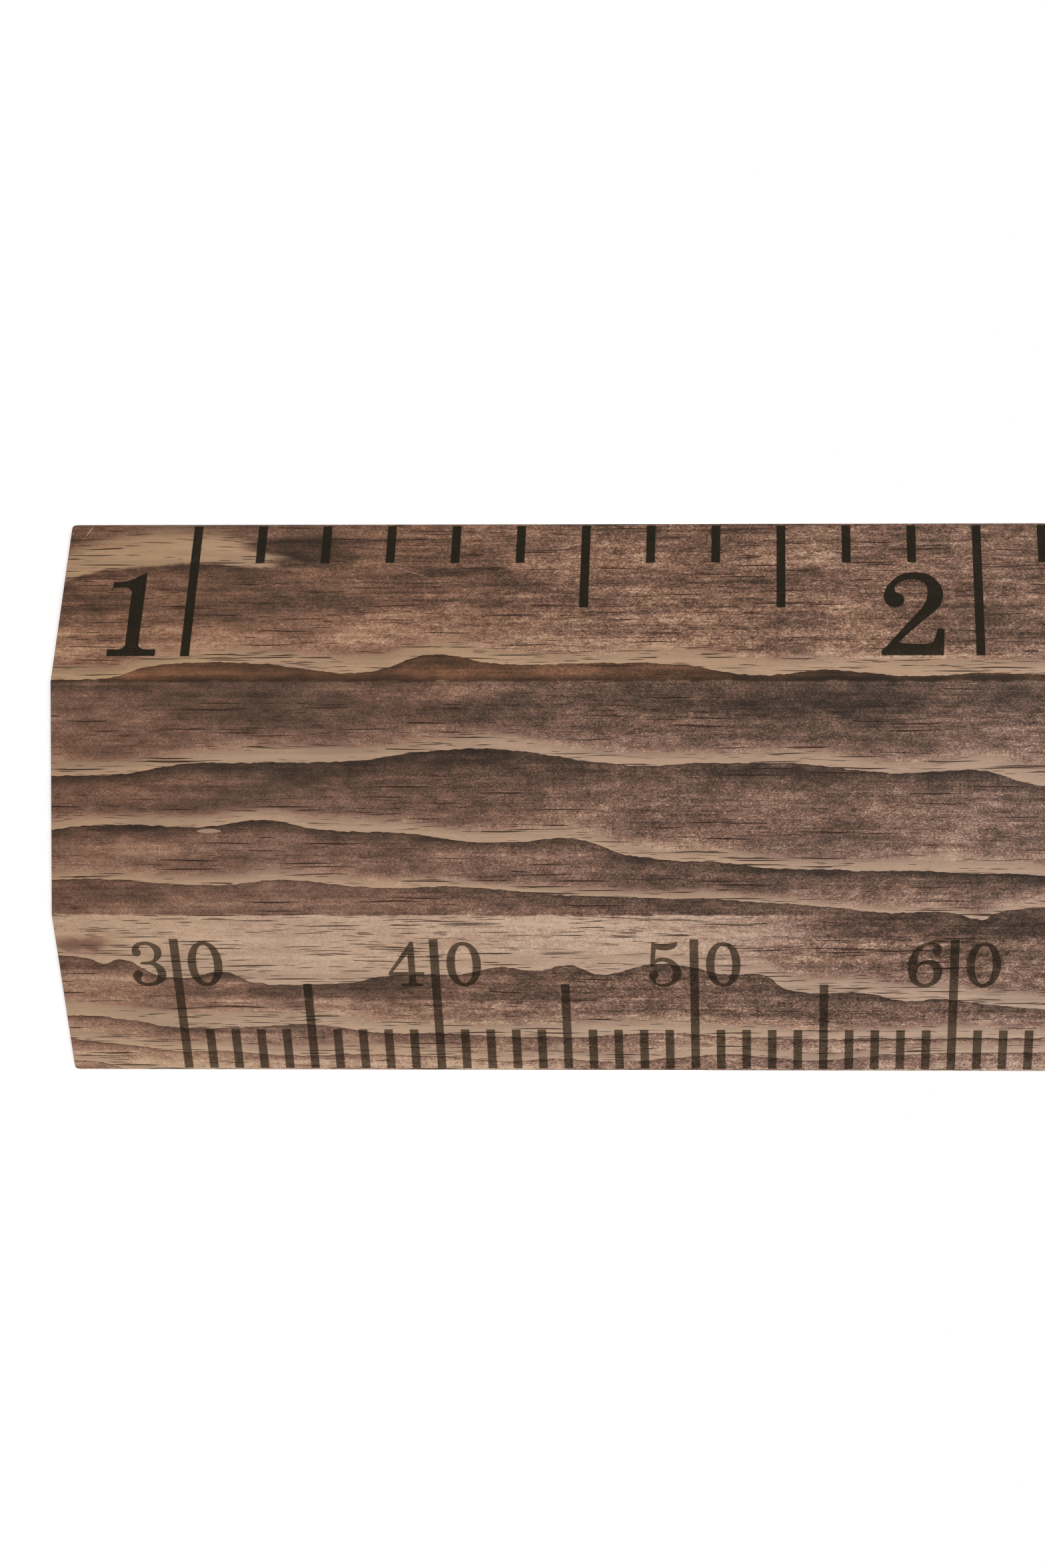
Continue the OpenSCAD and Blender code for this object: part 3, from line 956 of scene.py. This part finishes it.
    def colour(self, open_grain):
        """The finished wood: dark ring edges, grain and ridge, scratches, and dark end grain."""
        w, streak = self.w, tuple(self.finish.streak)
        colour = self.wood_colour()
        ring_edge = w.times(w.step(self.before, 0.9, 0.1), w.times_add(self.cloud, 1.2, 0.32))
        dark_scratches = w.times(self.scratched(DARK_SCRATCHES), 0.7)
        for cover in (ring_edge, w.times(open_grain, 0.95), self.ridge_line(), dark_scratches):
            colour = w.mix(cover, colour, streak)
        colour = w.mix(w.times(self.scratched(SCRATCHES), 0.8), colour, tuple(self.finish.scratch))
        return w.mix(w.times(self.end_grain, 0.55), colour, w.tinted(colour, END_GRAIN_TINT))

    def roughness(self, open_grain):
        """Smoother on late wood and rougher in open grain."""
        w = self.w
        rough = w.times_add(self.late, -0.08, self.finish.roughness)
        return w.add(rough, w.times(self.wool, 0.5), w.times(open_grain, 0.2))

    def relief(self):
        """Height of the surface, for the bump."""
        w = self.w
        return w.add(w.times(self.wool, 1.2), w.times(self.thread, 0.9), w.times(self.mottle, 0.4))


def streaks(w, point, size, share, thickness):
    """Long thin cells along the grain, of which the given share is filled."""
    stretched = w.scaled(point, tuple(1 / s for s in size))
    cells = w.node(
        "ShaderNodeTexVoronoi", {"Vector": stretched, "Scale": 1.0, "Randomness": 1.0}, feature="F1"
    )
    chance, girth, _ = w.parts(cells.outputs["Color"])
    reach = w.times_add(girth, thickness * 0.7, thickness * 0.5)
    inside = w.math("DIVIDE", cells.outputs["Distance"], reach)
    return w.times(w.step(inside, 1.05, 0.6), w.math("LESS_THAN", chance, share))


def stained_pine():
    """The node group of the board's wood, which also shows through the print."""
    name = "Stained pine"
    if name in bpy.data.node_groups:
        return bpy.data.node_groups[name]
    tree, w, _, sink = new_group(
        name, [], [("Colour", "Color"), ("Roughness", "Float"), ("Height", "Float")]
    )
    pine = Pine(w, bpy.context.scene.ruler_board)
    pine.read_stain()
    pine.read_fine()
    open_grain = pine.open_grain()
    w.feed(sink.inputs["Colour"], pine.colour(open_grain))
    w.feed(sink.inputs["Roughness"], pine.roughness(open_grain))
    w.feed(sink.inputs["Height"], pine.relief())
    return tree


def bare_wiring(owner):
    """Wiring for the emptied node tree of a material or a world."""
    owner.use_nodes = True
    owner.node_tree.nodes.clear()
    return Wiring(owner.node_tree)


def new_material(name):
    """A material with a plain shader, and its wiring."""
    material = bpy.data.materials.new(name)
    w = bare_wiring(material)
    shader = w.node("ShaderNodeBsdfPrincipled")
    w.node("ShaderNodeOutputMaterial", {"Surface": shader.outputs[0]})
    return material, w, shader


def set_surface(w, shader, colour, roughness, relief, strength, depth):
    """Gives a shader its colour, its roughness and a relief of some strength and depth."""
    bump = w.node("ShaderNodeBump", {"Strength": strength, "Distance": depth, "Height": relief})
    for socket, value in (("Base Color", colour), ("Roughness", roughness), ("Normal", bump.outputs[0])):
        w.feed(shader.inputs[socket], value)


def wood_material():
    """The stained pine with the relief of its grain."""
    material, w, shader = new_material("Stained pine board")
    pine = w.group(stained_pine()).outputs
    set_surface(w, shader, pine["Colour"], pine["Roughness"], pine["Height"], 0.6, 0.15 * MM)
    shader.inputs["Specular IOR Level"].default_value = 0.15
    return material


def ink_material(name, cover):
    """Ink on the wood, thinner here and there, with the grain showing through."""
    if name in bpy.data.materials:
        return bpy.data.materials[name]
    finish = bpy.context.scene.ruler_print
    material, w, shader = new_material(name)
    pine = w.group(stained_pine()).outputs
    point = w.place_in_mm()
    speck = w.noise(point, (0.5, 0.5, 0.9), 1.0, 0.8)
    patch = w.noise(w.shifted(point, (9.0, 2.0, 77.0)), (7, 7, 16), 1.0)
    hiding = w.math("MINIMUM", w.add(cover, w.times(speck, 0.3), w.times(patch, 0.16)), 1.0)
    colour = w.mix(hiding, w.tinted(pine["Colour"], UNDER_INK_TINT), tuple(finish.ink))
    rough = w.times_add(speck, 0.25, finish.roughness)
    set_surface(w, shader, colour, rough, pine["Height"], 0.4, 0.12 * MM)
    shader.inputs["Specular IOR Level"].default_value = 0.1
    return material


def foot_ink():
    """The dense ink of the foot scale."""
    return ink_material("Foot scale ink", bpy.context.scene.ruler_print.foot_cover)


def centimetre_ink():
    """The thin ink of the centimetre scale."""
    return ink_material("Centimetre scale ink", bpy.context.scene.ruler_print.centimetre_cover)


# Metal


def set_metal(w, shader, colour, roughness, relief, strength):
    """Gives a shader the look of plated metal with a fine relief."""
    set_surface(w, shader, colour, roughness, relief, strength, 0.03 * MM)
    shader.inputs["Metallic"].default_value = 1.0


def zinc_material():
    """Bright zinc plate: rolled along its length, with a faint spangle and dull spots."""
    finish = bpy.context.scene.ruler_hangers
    material, w, shader = new_material("Zinc plate")
    point = w.place_in_mm()
    rolled = w.noise(point, (0.12, 0.12, 9.0), 3.0, 0.6)
    bloom = w.noise(w.shifted(point, (4.0, 1.0, 9.0)), (3.2, 3.2, 3.8), 3.0, 0.6)
    spangle = w.node("ShaderNodeTexVoronoi", {"Vector": point, "Scale": 0.45})
    facet, _, _ = w.parts(spangle.outputs["Color"])
    shade = w.add(w.times(rolled, 0.35), w.times(bloom, 0.9), w.times(facet, 0.22))
    bright, dull = tuple(finish.zinc), tuple(0.62 * c for c in finish.zinc)
    colour = w.mix(w.step(shade, 0.5, -0.3), bright, dull)
    set_metal(w, shader, colour, w.add(0.34, w.times(bloom, 0.3), w.times(rolled, 0.25)), rolled, 0.3)
    return material


def screw_material():
    """Zinc-plated steel, a little darker than the plates, with dull patches and a fine speckle."""
    finish = bpy.context.scene.ruler_hangers
    material, w, shader = new_material("Screw steel")
    point = w.place_in_mm()
    grime = w.noise(point, (1.1, 1.1, 1.1), 3.0, 0.65)
    fine = w.noise(w.shifted(point, (8.0, 3.0, 1.0)), (0.16, 0.16, 0.16), 2.0)
    bright, dull = tuple(finish.steel), tuple(0.5 * c for c in finish.steel)
    colour = w.mix(w.step(w.add(grime, w.times(fine, 0.5)), 0.35, -0.25), bright, dull)
    set_metal(w, shader, colour, w.add(0.3, w.times(grime, 0.35), w.times(fine, 0.15)), fine, 0.25)
    return material


# Making pieces


def finish_node(name, material):
    """Gives a node of the model its material and nothing else."""
    mesh = frame["nodes"][name].data
    mesh.materials.clear()
    mesh.materials.append(material)


def place_object(name, data):
    """A new object in the scene with the given mesh, curve, lamp or camera."""
    made = bpy.data.objects.new(name, data)
    bpy.context.scene.collection.objects.link(made)
    return made


def evaluated_mesh(made):
    """The plain mesh that an object's curve or modifiers give."""
    graph = bpy.context.evaluated_depsgraph_get()
    return bpy.data.meshes.new_from_object(made.evaluated_get(graph), depsgraph=graph)


def baked(made):
    """Replaces an object's modifiers by the plain mesh that they give."""
    mesh = evaluated_mesh(made)
    made.modifiers.clear()
    made.data = mesh
    mesh.name = made.name
    return made


def grown_on(name, places, tree, inputs, digits=()):
    """An object that geometry nodes grow on places, which may have a digit each."""
    mesh = bpy.data.meshes.new(name)
    mesh.from_pydata(places, [], [])
    if digits:
        numbers = mesh.attributes.new("digit", "INT", "POINT")
        for number, digit in zip(numbers.data, digits):
            number.value = int(digit)
    made = place_object(name, mesh)
    modifier = made.modifiers.new(tree.name, "NODES")
    modifier.node_group = tree
    for socket, value in inputs.items():
        set_modifier_input(modifier, socket, value)
    baked(made)
    if not made.data.polygons:
        raise RuntimeError(f"{name} has no faces")
    return made


def finished_piece(made):
    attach(made, BODY)
    return made


def numeral_mesh(digit):
    """A numeral one unit high and one unit thick, standing on its baseline."""
    curve = bpy.data.curves.new(f"numeral_{digit}", "CURVE")
    curve.dimensions = "2D"
    curve.fill_mode = "BOTH"
    curve.extrude = 0.5
    for outline in NUMERALS[digit]:
        points = smooth_outline(outline)
        spline = curve.splines.new("POLY")
        spline.points.add(len(points) - 1)
        for spot, point in zip(spline.points, points):
            spot.co = (point.x, point.y, 0.0, 1.0)
        spline.use_cyclic_u = True
    holder = place_object(curve.name, curve)
    mesh = evaluated_mesh(holder)
    bpy.data.objects.remove(holder)
    bpy.data.curves.remove(curve)
    mesh.transform(Matrix.Translation((0, 0, 0.5)))
    shape = bmesh.new()
    shape.from_mesh(mesh)
    bmesh.ops.remove_doubles(shape, verts=shape.verts, dist=1e-5)
    bmesh.ops.recalc_face_normals(shape, faces=shape.faces)
    shape.to_mesh(mesh)
    shape.free()
    return mesh


def numeral_collection():
    """One object for each numeral, in their order, for the rows to pick from."""
    collection = bpy.data.collections.new("Numerals")
    for digit in sorted(NUMERALS):
        collection.objects.link(bpy.data.objects.new(f"numeral_{digit}", numeral_mesh(digit)))
    return collection


def numeral_row_tree():
    """Geometry nodes that set a numeral on each point, by the point's own digit."""
    tree, w, source, sink = new_group(
        "Numeral row",
        [("Points", "Geometry"), ("Numerals", "Collection"), ("Height", "Float"), ("Film", "Float"),
         ("Lie", "Vector"), ("Ink", "Material")],
        [("Numerals", "Geometry")],
        "GeometryNodeTree",
    )
    stock = w.node("GeometryNodeCollectionInfo", {"Collection": source.outputs["Numerals"],
                                                  "Separate Children": True, "Reset Children": True})
    digit = w.node("GeometryNodeInputNamedAttribute", {"Name": "digit"}, data_type="INT")
    lie = w.node("FunctionNodeEulerToRotation", {0: source.outputs["Lie"]})
    size = w.vector(source.outputs["Height"], source.outputs["Height"], source.outputs["Film"])
    row = w.node("GeometryNodeInstanceOnPoints", {
        "Points": source.outputs["Points"], "Instance": stock.outputs[0], "Pick Instance": True,
        "Instance Index": digit.outputs["Attribute"], "Rotation": lie.outputs[0], "Scale": size,
    })
    real = w.node("GeometryNodeRealizeInstances", {0: row.outputs[0]})
    inked = w.node("GeometryNodeSetMaterial", {"Geometry": real.outputs[0],
                                               "Material": source.outputs["Ink"]})
    w.feed(sink.inputs[0], inked.outputs[0])
    return tree


class Bevel:
    """The plane of one bevel: where a place on it is, and how a numeral lies on it."""

    def __init__(self, side):
        self.side = side
        right = Vector((0, 0, 1))
        up = Vector((-math.cos(BEVEL), -side * math.sin(BEVEL), 0))
        out = right.cross(up)
        self.lie = Matrix((right, up, out)).transposed().to_euler()

    def place(self, from_middle, height):
        """The place on the bevel at a distance from the board's middle line and a height."""
        inwards = HALF_WIDTH - from_middle
        return Vector((self.side * from_middle, -EDGE_THICKNESS - inwards * math.tan(BEVEL), height))


def add_numeral_row(name, bevel, spots, height, film, ink):
    """Sets numerals, given as (digit, place), on a bevel as one piece."""
    stock = numeral_collection()
    inputs = {"Numerals": stock, "Height": height, "Film": film, "Lie": bevel.lie, "Ink": ink}
    digits, places = zip(*spots)
    row = grown_on(name, places, numeral_row_tree(), inputs, digits)
    for member in list(stock.objects):
        bpy.data.objects.remove(member)
    bpy.data.collections.remove(stock)
    return finished_piece(row)


def readings(interval):
    """Each whole number of intervals above the floor that lies on the board's marked length."""
    lowest = FLOOR_HEIGHT + CLEAR_END
    highest = FLOOR_HEIGHT + BOARD_HIGH.z - CLEAR_END
    return range(math.ceil(lowest / interval), math.floor(highest / interval) + 1)


# The cross recess in a screw's head: half its span, half the width of a wing, and its depth
CROSS_HALF_SPAN = 1.55 * MM
CROSS_HALF_WING = 0.36 * MM
CROSS_DEPTH = 1.5 * MM
# Where the thread starts below the top of the head, and where it ends before the point
THREAD_START = 3.0 * MM
THREAD_END = 2.6 * MM


def screw_profile(sizes):
    """Half section of a countersunk screw from the middle of its head to its point."""
    head, core, length = sizes.head_radius, sizes.core_radius, sizes.screw_length
    cone = head - sizes.crest_radius
    return [
        (0.0, 0.0), (head - 0.12 * MM, 0.0), (head, 0.1 * MM), (sizes.crest_radius, cone + 0.05 * MM),
        (sizes.crest_radius - 0.1 * MM, cone + 0.7 * MM), (core, cone + 1.1 * MM),
        (core, length - 3.0 * MM), (0.55 * core, length - 1.2 * MM), (0.0, length),
    ]


def turned(profile, segments=36):
    """A closed shape turned about Z from a half section that starts and ends on the axis."""
    shape = bmesh.new()
    rows = []
    for radius, depth in profile:
        if radius == 0.0:
            rows.append([shape.verts.new((0.0, 0.0, depth))])
            continue
        ring = [2 * math.pi * k / segments for k in range(segments)]
        rows.append([shape.verts.new((radius * math.cos(a), radius * math.sin(a), depth)) for a in ring])
    for above, below in zip(rows, rows[1:]):
        for k in range(segments):
            following = (k + 1) % segments
            corners = []
            for row, index in ((above, k), (above, following), (below, following), (below, k)):
                vertex = row[index % len(row)]
                if vertex not in corners:
                    corners.append(vertex)
            shape.faces.new(corners)
    bmesh.ops.recalc_face_normals(shape, faces=shape.faces)
    return shape


def cross_cutter(half_span, half_wing, depth):
    """The shape of a cross recess, narrower at its bottom."""
    corners = []
    for quarter in range(4):
        turn = Matrix.Rotation(quarter * math.pi / 2, 2)
        for x, y in ((half_wing, half_wing), (half_span, half_wing), (half_span, -half_wing)):
            corners.append(turn @ Vector((x, -y)))
    shape = bmesh.new()
    top = [shape.verts.new((c.x, c.y, -0.3 * MM)) for c in corners]
    middle = [shape.verts.new((c.x * 0.9, c.y * 0.9, depth * 0.4)) for c in corners]
    bottom = [shape.verts.new((c.x * 0.42, c.y * 0.5, depth)) for c in corners]
    shape.faces.new(top)
    shape.faces.new(bottom)
    for row, below in ((top, middle), (middle, bottom)):
        for k in range(len(row)):
            following = (k + 1) % len(row)
            shape.faces.new((row[k], row[following], below[following], below[k]))
    bmesh.ops.recalc_face_normals(shape, faces=shape.faces)
    return shape


def mesh_object(name, shape):
    """A new object in the scene with the given shape, which is used up."""
    mesh = bpy.data.meshes.new(name)
    shape.to_mesh(mesh)
    shape.free()
    return place_object(name, mesh)


def plain_screw(sizes):
    """One screw without its thread, its head up at the origin and its point towards +Z."""
    screw = mesh_object("plain_screw", turned(screw_profile(sizes)))
    cutter = mesh_object("cross_cutter", cross_cutter(CROSS_HALF_SPAN, CROSS_HALF_WING, CROSS_DEPTH))
    cut = screw.modifiers.new("Cross recess", "BOOLEAN")
    cut.operation = "DIFFERENCE"
    cut.solver = "EXACT"
    cut.object = cutter
    baked(screw)
    bpy.data.objects.remove(cutter)
    return screw


def screw_pair_tree():
    """Geometry nodes that wind a thread round a screw and set a screw on each point."""
    tree, w, source, sink = new_group(
        "Hanger screws",
        [("Places", "Geometry"), ("Screw", "Object"), ("Core radius", "Float"),
         ("Crest radius", "Float"), ("Pitch", "Float"), ("Start", "Float"),
         ("Threaded length", "Float"), ("Aim", "Vector"), ("Steel", "Material")],
        [("Screws", "Geometry")],
        "GeometryNodeTree",
    )
    ins = source.outputs
    body = w.node("GeometryNodeObjectInfo", {"Object": ins["Screw"]})
    turns = w.math("DIVIDE", ins["Threaded length"], ins["Pitch"])
    spiral = w.node("GeometryNodeCurveSpiral", {
        "Resolution": 20, "Rotations": turns, "Start Radius": ins["Core radius"],
        "End Radius": ins["Core radius"], "Height": ins["Threaded length"],
    })
    upright = w.node("GeometryNodeSetCurveNormal", {"Curve": spiral.outputs[0]}, mode="Z_UP")
    # The thread's section is a triangle: its base lies in the core and its tip on the crest
    rise = w.minus(ins["Crest radius"], ins["Core radius"])
    section = w.node("GeometryNodeCurvePrimitiveQuadrilateral", {
        "Width": w.times(ins["Pitch"], 0.62), "Bottom Height": w.times(rise, 0.3), "Top Height": rise,
    }, mode="KITE")
    thread = w.node("GeometryNodeCurveToMesh", {
        "Curve": upright.outputs[0], "Profile Curve": section.outputs[0], "Fill Caps": True,
    })
    lowered = w.node("GeometryNodeTransform", {"Geometry": thread.outputs[0],
                                               "Translation": w.vector(0.0, 0.0, ins["Start"])})
    whole = w.node("GeometryNodeJoinGeometry")
    tree.links.new(lowered.outputs[0], whole.inputs[0])
    tree.links.new(body.outputs["Geometry"], whole.inputs[0])
    aim = w.node("FunctionNodeEulerToRotation", {0: ins["Aim"]})
    pair = w.node("GeometryNodeInstanceOnPoints", {
        "Points": ins["Places"], "Instance": whole.outputs[0], "Rotation": aim.outputs[0],
    })
    real = w.node("GeometryNodeRealizeInstances", {0: pair.outputs[0]})
    metal = w.node("GeometryNodeSetMaterial", {"Geometry": real.outputs[0], "Material": ins["Steel"]})
    w.feed(sink.inputs[0], metal.outputs[0])
    return tree


# Operators


class RULER_OT_finish_board(bpy.types.Operator):
    """Give the board its stained pine"""

    bl_idname = "ruler.finish_board"
    bl_label = "Finish Board"

    def execute(self, context):
        finish_node("board", wood_material())
        return {"FINISHED"}


class RULER_OT_finish_marks(bpy.types.Operator):
    """Ink the lines and ticks of both scales"""

    bl_idname = "ruler.finish_marks"
    bl_label = "Finish Marks"

    def execute(self, context):
        for name in FOOT_MARKS:
            finish_node(name, foot_ink())
        for name in CENTIMETRE_MARKS:
            finish_node(name, centimetre_ink())
        return {"FINISHED"}


class RULER_OT_add_foot_numerals(bpy.types.Operator):
    """Print the large numerals beside the foot lines"""

    bl_idname = "ruler.add_foot_numerals"
    bl_label = "Add Foot Numerals"

    def execute(self, context):
        sizes = context.scene.ruler_numerals
        bevel = Bevel(-1)
        _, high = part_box("foot_lines")
        baseline = -high.x
        half_line = high.z - FOOT * readings(FOOT)[-1] + FLOOR_HEIGHT
        spots = []
        for reading in readings(FOOT):
            line = reading * FOOT - FLOOR_HEIGHT
            gap = sizes.foot_gap_one if reading == 1 else sizes.foot_gap
            left = line - half_line - gap - numeral_width(str(reading)) * sizes.foot_height
            spots.append((str(reading), bevel.place(baseline, left)))
        add_numeral_row("foot_numerals", bevel, spots, sizes.foot_height, sizes.film, foot_ink())
        return {"FINISHED"}


class RULER_OT_add_centimetre_numerals(bpy.types.Operator):
    """Print the numerals on both sides of the ten-centimetre lines"""

    bl_idname = "ruler.add_centimetre_numerals"
    bl_label = "Add Centimetre Numerals"

    def execute(self, context):
        sizes = context.scene.ruler_numerals
        height = sizes.centimetre_height
        bevel = Bevel(1)
        low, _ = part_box("ten_centimetre_lines")
        baseline = low.x + sizes.centimetre_top + height * math.cos(BEVEL)
        spots = []
        for reading in readings(TEN_CENTIMETRES):
            line = reading * TEN_CENTIMETRES - FLOOR_HEIGHT
            nought = line + sizes.centimetre_gap - numeral_width("0") * height / 2
            spots.append(("0", bevel.place(baseline, nought)))
            tens = str(reading)
            right = line - sizes.centimetre_gap + numeral_width(tens[-1]) * height / 2
            for digit in reversed(tens):
                left = right - numeral_width(digit) * height
                spots.append((digit, bevel.place(baseline, left)))
                right = left - sizes.spacing
        add_numeral_row("centimetre_numerals", bevel, spots, height, sizes.film, centimetre_ink())
        return {"FINISHED"}


class RULER_OT_finish_plates(bpy.types.Operator):
    """Plate both hangers with zinc"""

    bl_idname = "ruler.finish_plates"
    bl_label = "Finish Hanger Plates"

    def execute(self, context):
        zinc = zinc_material()
        for hanger in HANGERS:
            finish_node(f"{hanger}_hanger_plate", zinc)
        return {"FINISHED"}


class RULER_OT_add_screws(bpy.types.Operator):
    """Fit the two countersunk screws of each hanger plate"""

    bl_idname = "ruler.add_screws"
    bl_label = "Add Hanger Screws"

    def execute(self, context):
        sizes = context.scene.ruler_hangers
        tree, screw = screw_pair_tree(), plain_screw(sizes)
        # The screw's axis is +Z as it is made, and points into the board, towards -Y
        aim = Matrix.Rotation(math.pi / 2, 3, "X").to_euler()
        inputs = {
            "Screw": screw, "Core radius": sizes.core_radius, "Crest radius": sizes.crest_radius,
            "Pitch": sizes.pitch, "Start": THREAD_START,
            "Threaded length": sizes.screw_length - THREAD_START - THREAD_END,
            "Aim": aim, "Steel": screw_material(),
        }
        for hanger in HANGERS:
            node = f"{hanger}_hanger_screws"
            low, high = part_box(node)
            middle = (low.z + high.z) / 2
            places = [(0.0, high.y, middle + side * sizes.spacing / 2) for side in (-1, 1)]
            pair = grown_on(f"{hanger}_screws", places, tree, inputs)
            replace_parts(finished_piece(pair), node)
        bpy.data.objects.remove(screw)
        return {"FINISHED"}


class RULER_OT_set_stage(bpy.types.Operator):
    """Set the floor, the light and the camera"""

    bl_idname = "ruler.set_stage"
    bl_label = "Set Stage"

    def execute(self, context):
        settings = context.scene.ruler_stage
        add_floor(settings)
        set_sky(settings)
        add_lamp("Front lamp", FRONT_LAMP_PLACE, settings.front_lamp)
        add_lamp("Back lamp", BACK_LAMP_PLACE, settings.back_lamp)
        add_camera(settings)
        context.scene.view_settings.view_transform = "Standard"
        return {"FINISHED"}


# The stage, in metres
WHITE = (1.0, 1.0, 1.0, 1.0)
FLOOR_PAINT = (0.75, 0.75, 0.75, 1.0)
FLOOR_LEVEL = -0.5 * MM
# What the floor adds to its own light where it is seen
FLOOR_GLOW = 0.62
FRONT_LAMP_PLACE = (-0.6, -3.2, 1.7)
BACK_LAMP_PLACE = (0.6, 3.2, 1.7)
LAMP_TARGET = (0.0, 0.0, 0.8)
LAMP_SIZE = (3.0, 2.4)
CAMERA_PLACE = (-0.00798, -0.3837, 0.27694)
CAMERA_TILT = math.radians(0.40)
CAMERA_YAW = math.radians(0.39)
# How far the picture is moved along the ruler, as a share of its longer side
CAMERA_SHIFT = -0.1567


def seen_directly(w):
    """1 for a ray that shows the background itself, also in a reflection, and 0 for light."""
    path = w.node("ShaderNodeLightPath")
    seen = w.math("MAXIMUM", path.outputs["Is Camera Ray"], path.outputs["Is Glossy Ray"])
    return w.math("MAXIMUM", seen, path.outputs["Is Transmission Ray"])


def add_floor(settings):
    """A pale floor that looks white where it is seen."""
    half = settings.floor_size / 2
    mesh = bpy.data.meshes.new("floor")
    corners = [(x * half, y * half, FLOOR_LEVEL) for x, y in ((-1, -1), (1, -1), (1, 1), (-1, 1))]
    mesh.from_pydata(corners, [], [(0, 1, 2, 3)])
    floor = place_object("floor", mesh)
    material = bpy.data.materials.new("Pale floor")
    w = bare_wiring(material)
    paint = w.node("ShaderNodeBsdfDiffuse", {"Color": FLOOR_PAINT})
    strength = w.times(seen_directly(w), FLOOR_GLOW)
    glow = w.node("ShaderNodeEmission", {"Color": WHITE, "Strength": strength})
    both = w.node("ShaderNodeAddShader", {0: paint.outputs[0], 1: glow.outputs[0]})
    w.node("ShaderNodeOutputMaterial", {"Surface": both.outputs[0]})
    mesh.materials.append(material)


def set_sky(settings):
    """An even light from all sides, which looks white where it is seen."""
    world = bpy.data.worlds.new("White room")
    bpy.context.scene.world = world
    w = bare_wiring(world)
    strength = w.times_add(seen_directly(w), 1.0 - settings.sky, settings.sky)
    sky = w.node("ShaderNodeBackground", {"Color": WHITE, "Strength": strength})
    w.node("ShaderNodeOutputWorld", {"Surface": sky.outputs[0]})


def add_lamp(name, place, power):
    """A large soft lamp that looks at the middle of the ruler."""
    data = bpy.data.lights.new(name, "AREA")
    data.shape = "RECTANGLE"
    data.size, data.size_y = LAMP_SIZE
    data.energy = power
    lamp = place_object(name, data)
    lamp.location = place
    aim = Vector(LAMP_TARGET) - lamp.location
    lamp.rotation_euler = aim.to_track_quat("-Z", "Y").to_euler()


def add_camera(settings):
    """The camera lies on its side, so that the ruler's length runs across the picture."""
    tilt, yaw = CAMERA_TILT, CAMERA_YAW
    right = Vector((math.sin(yaw) * math.sin(tilt), math.sin(yaw) * math.cos(tilt), math.cos(yaw)))
    up = Vector((-math.cos(tilt), math.sin(tilt), 0.0))
    data = bpy.data.cameras.new("Camera")
    data.lens = settings.lens
    data.shift_x = CAMERA_SHIFT
    camera = place_object("Camera", data)
    turn = Matrix((right, up, right.cross(up))).transposed().to_4x4()
    camera.matrix_world = Matrix.Translation(CAMERA_PLACE) @ turn
    bpy.context.scene.camera = camera


class VIEW3D_PT_height_chart(bpy.types.Panel):
    """Lists the steps that finish the ruler, with their sizes and colours"""

    bl_idname = "VIEW3D_PT_height_chart"
    bl_label = "Height Chart"
    bl_space_type = "VIEW_3D"
    bl_region_type = "UI"
    bl_category = "Height Chart"

    def draw(self, context):
        for operator in STEPS:
            self.layout.operator(operator.bl_idname)
        for name in SETTINGS:
            box = self.layout.box()
            group = getattr(context.scene, name)
            box.label(text=group.bl_rna.description)
            for key in group.__annotations__:
                box.prop(group, key)


STEPS = (
    RULER_OT_finish_board,
    RULER_OT_finish_marks,
    RULER_OT_add_foot_numerals,
    RULER_OT_add_centimetre_numerals,
    RULER_OT_finish_plates,
    RULER_OT_add_screws,
    RULER_OT_set_stage,
)
SETTINGS = {
    "ruler_board": BoardFinish,
    "ruler_print": PrintFinish,
    "ruler_numerals": NumeralSizes,
    "ruler_hangers": HangerFinish,
    "ruler_stage": StageSettings,
}
CLASSES = (*SETTINGS.values(), *STEPS, VIEW3D_PT_height_chart)


def register():
    """Adds the add-on's classes and settings to Blender."""
    for cls in CLASSES:
        bpy.utils.register_class(cls)
    for name, cls in SETTINGS.items():
        setattr(bpy.types.Scene, name, PointerProperty(type=cls))


def unregister():
    """Takes them out again."""
    for name in SETTINGS:
        delattr(bpy.types.Scene, name)
    for cls in reversed(CLASSES):
        bpy.utils.unregister_class(cls)


def main():
    """Finishes the ruler step by step."""
    register()
    for operator in STEPS:
        module, name = operator.bl_idname.split(".")
        getattr(getattr(bpy.ops, module), name)()


if __name__ == "__main__":
    main()
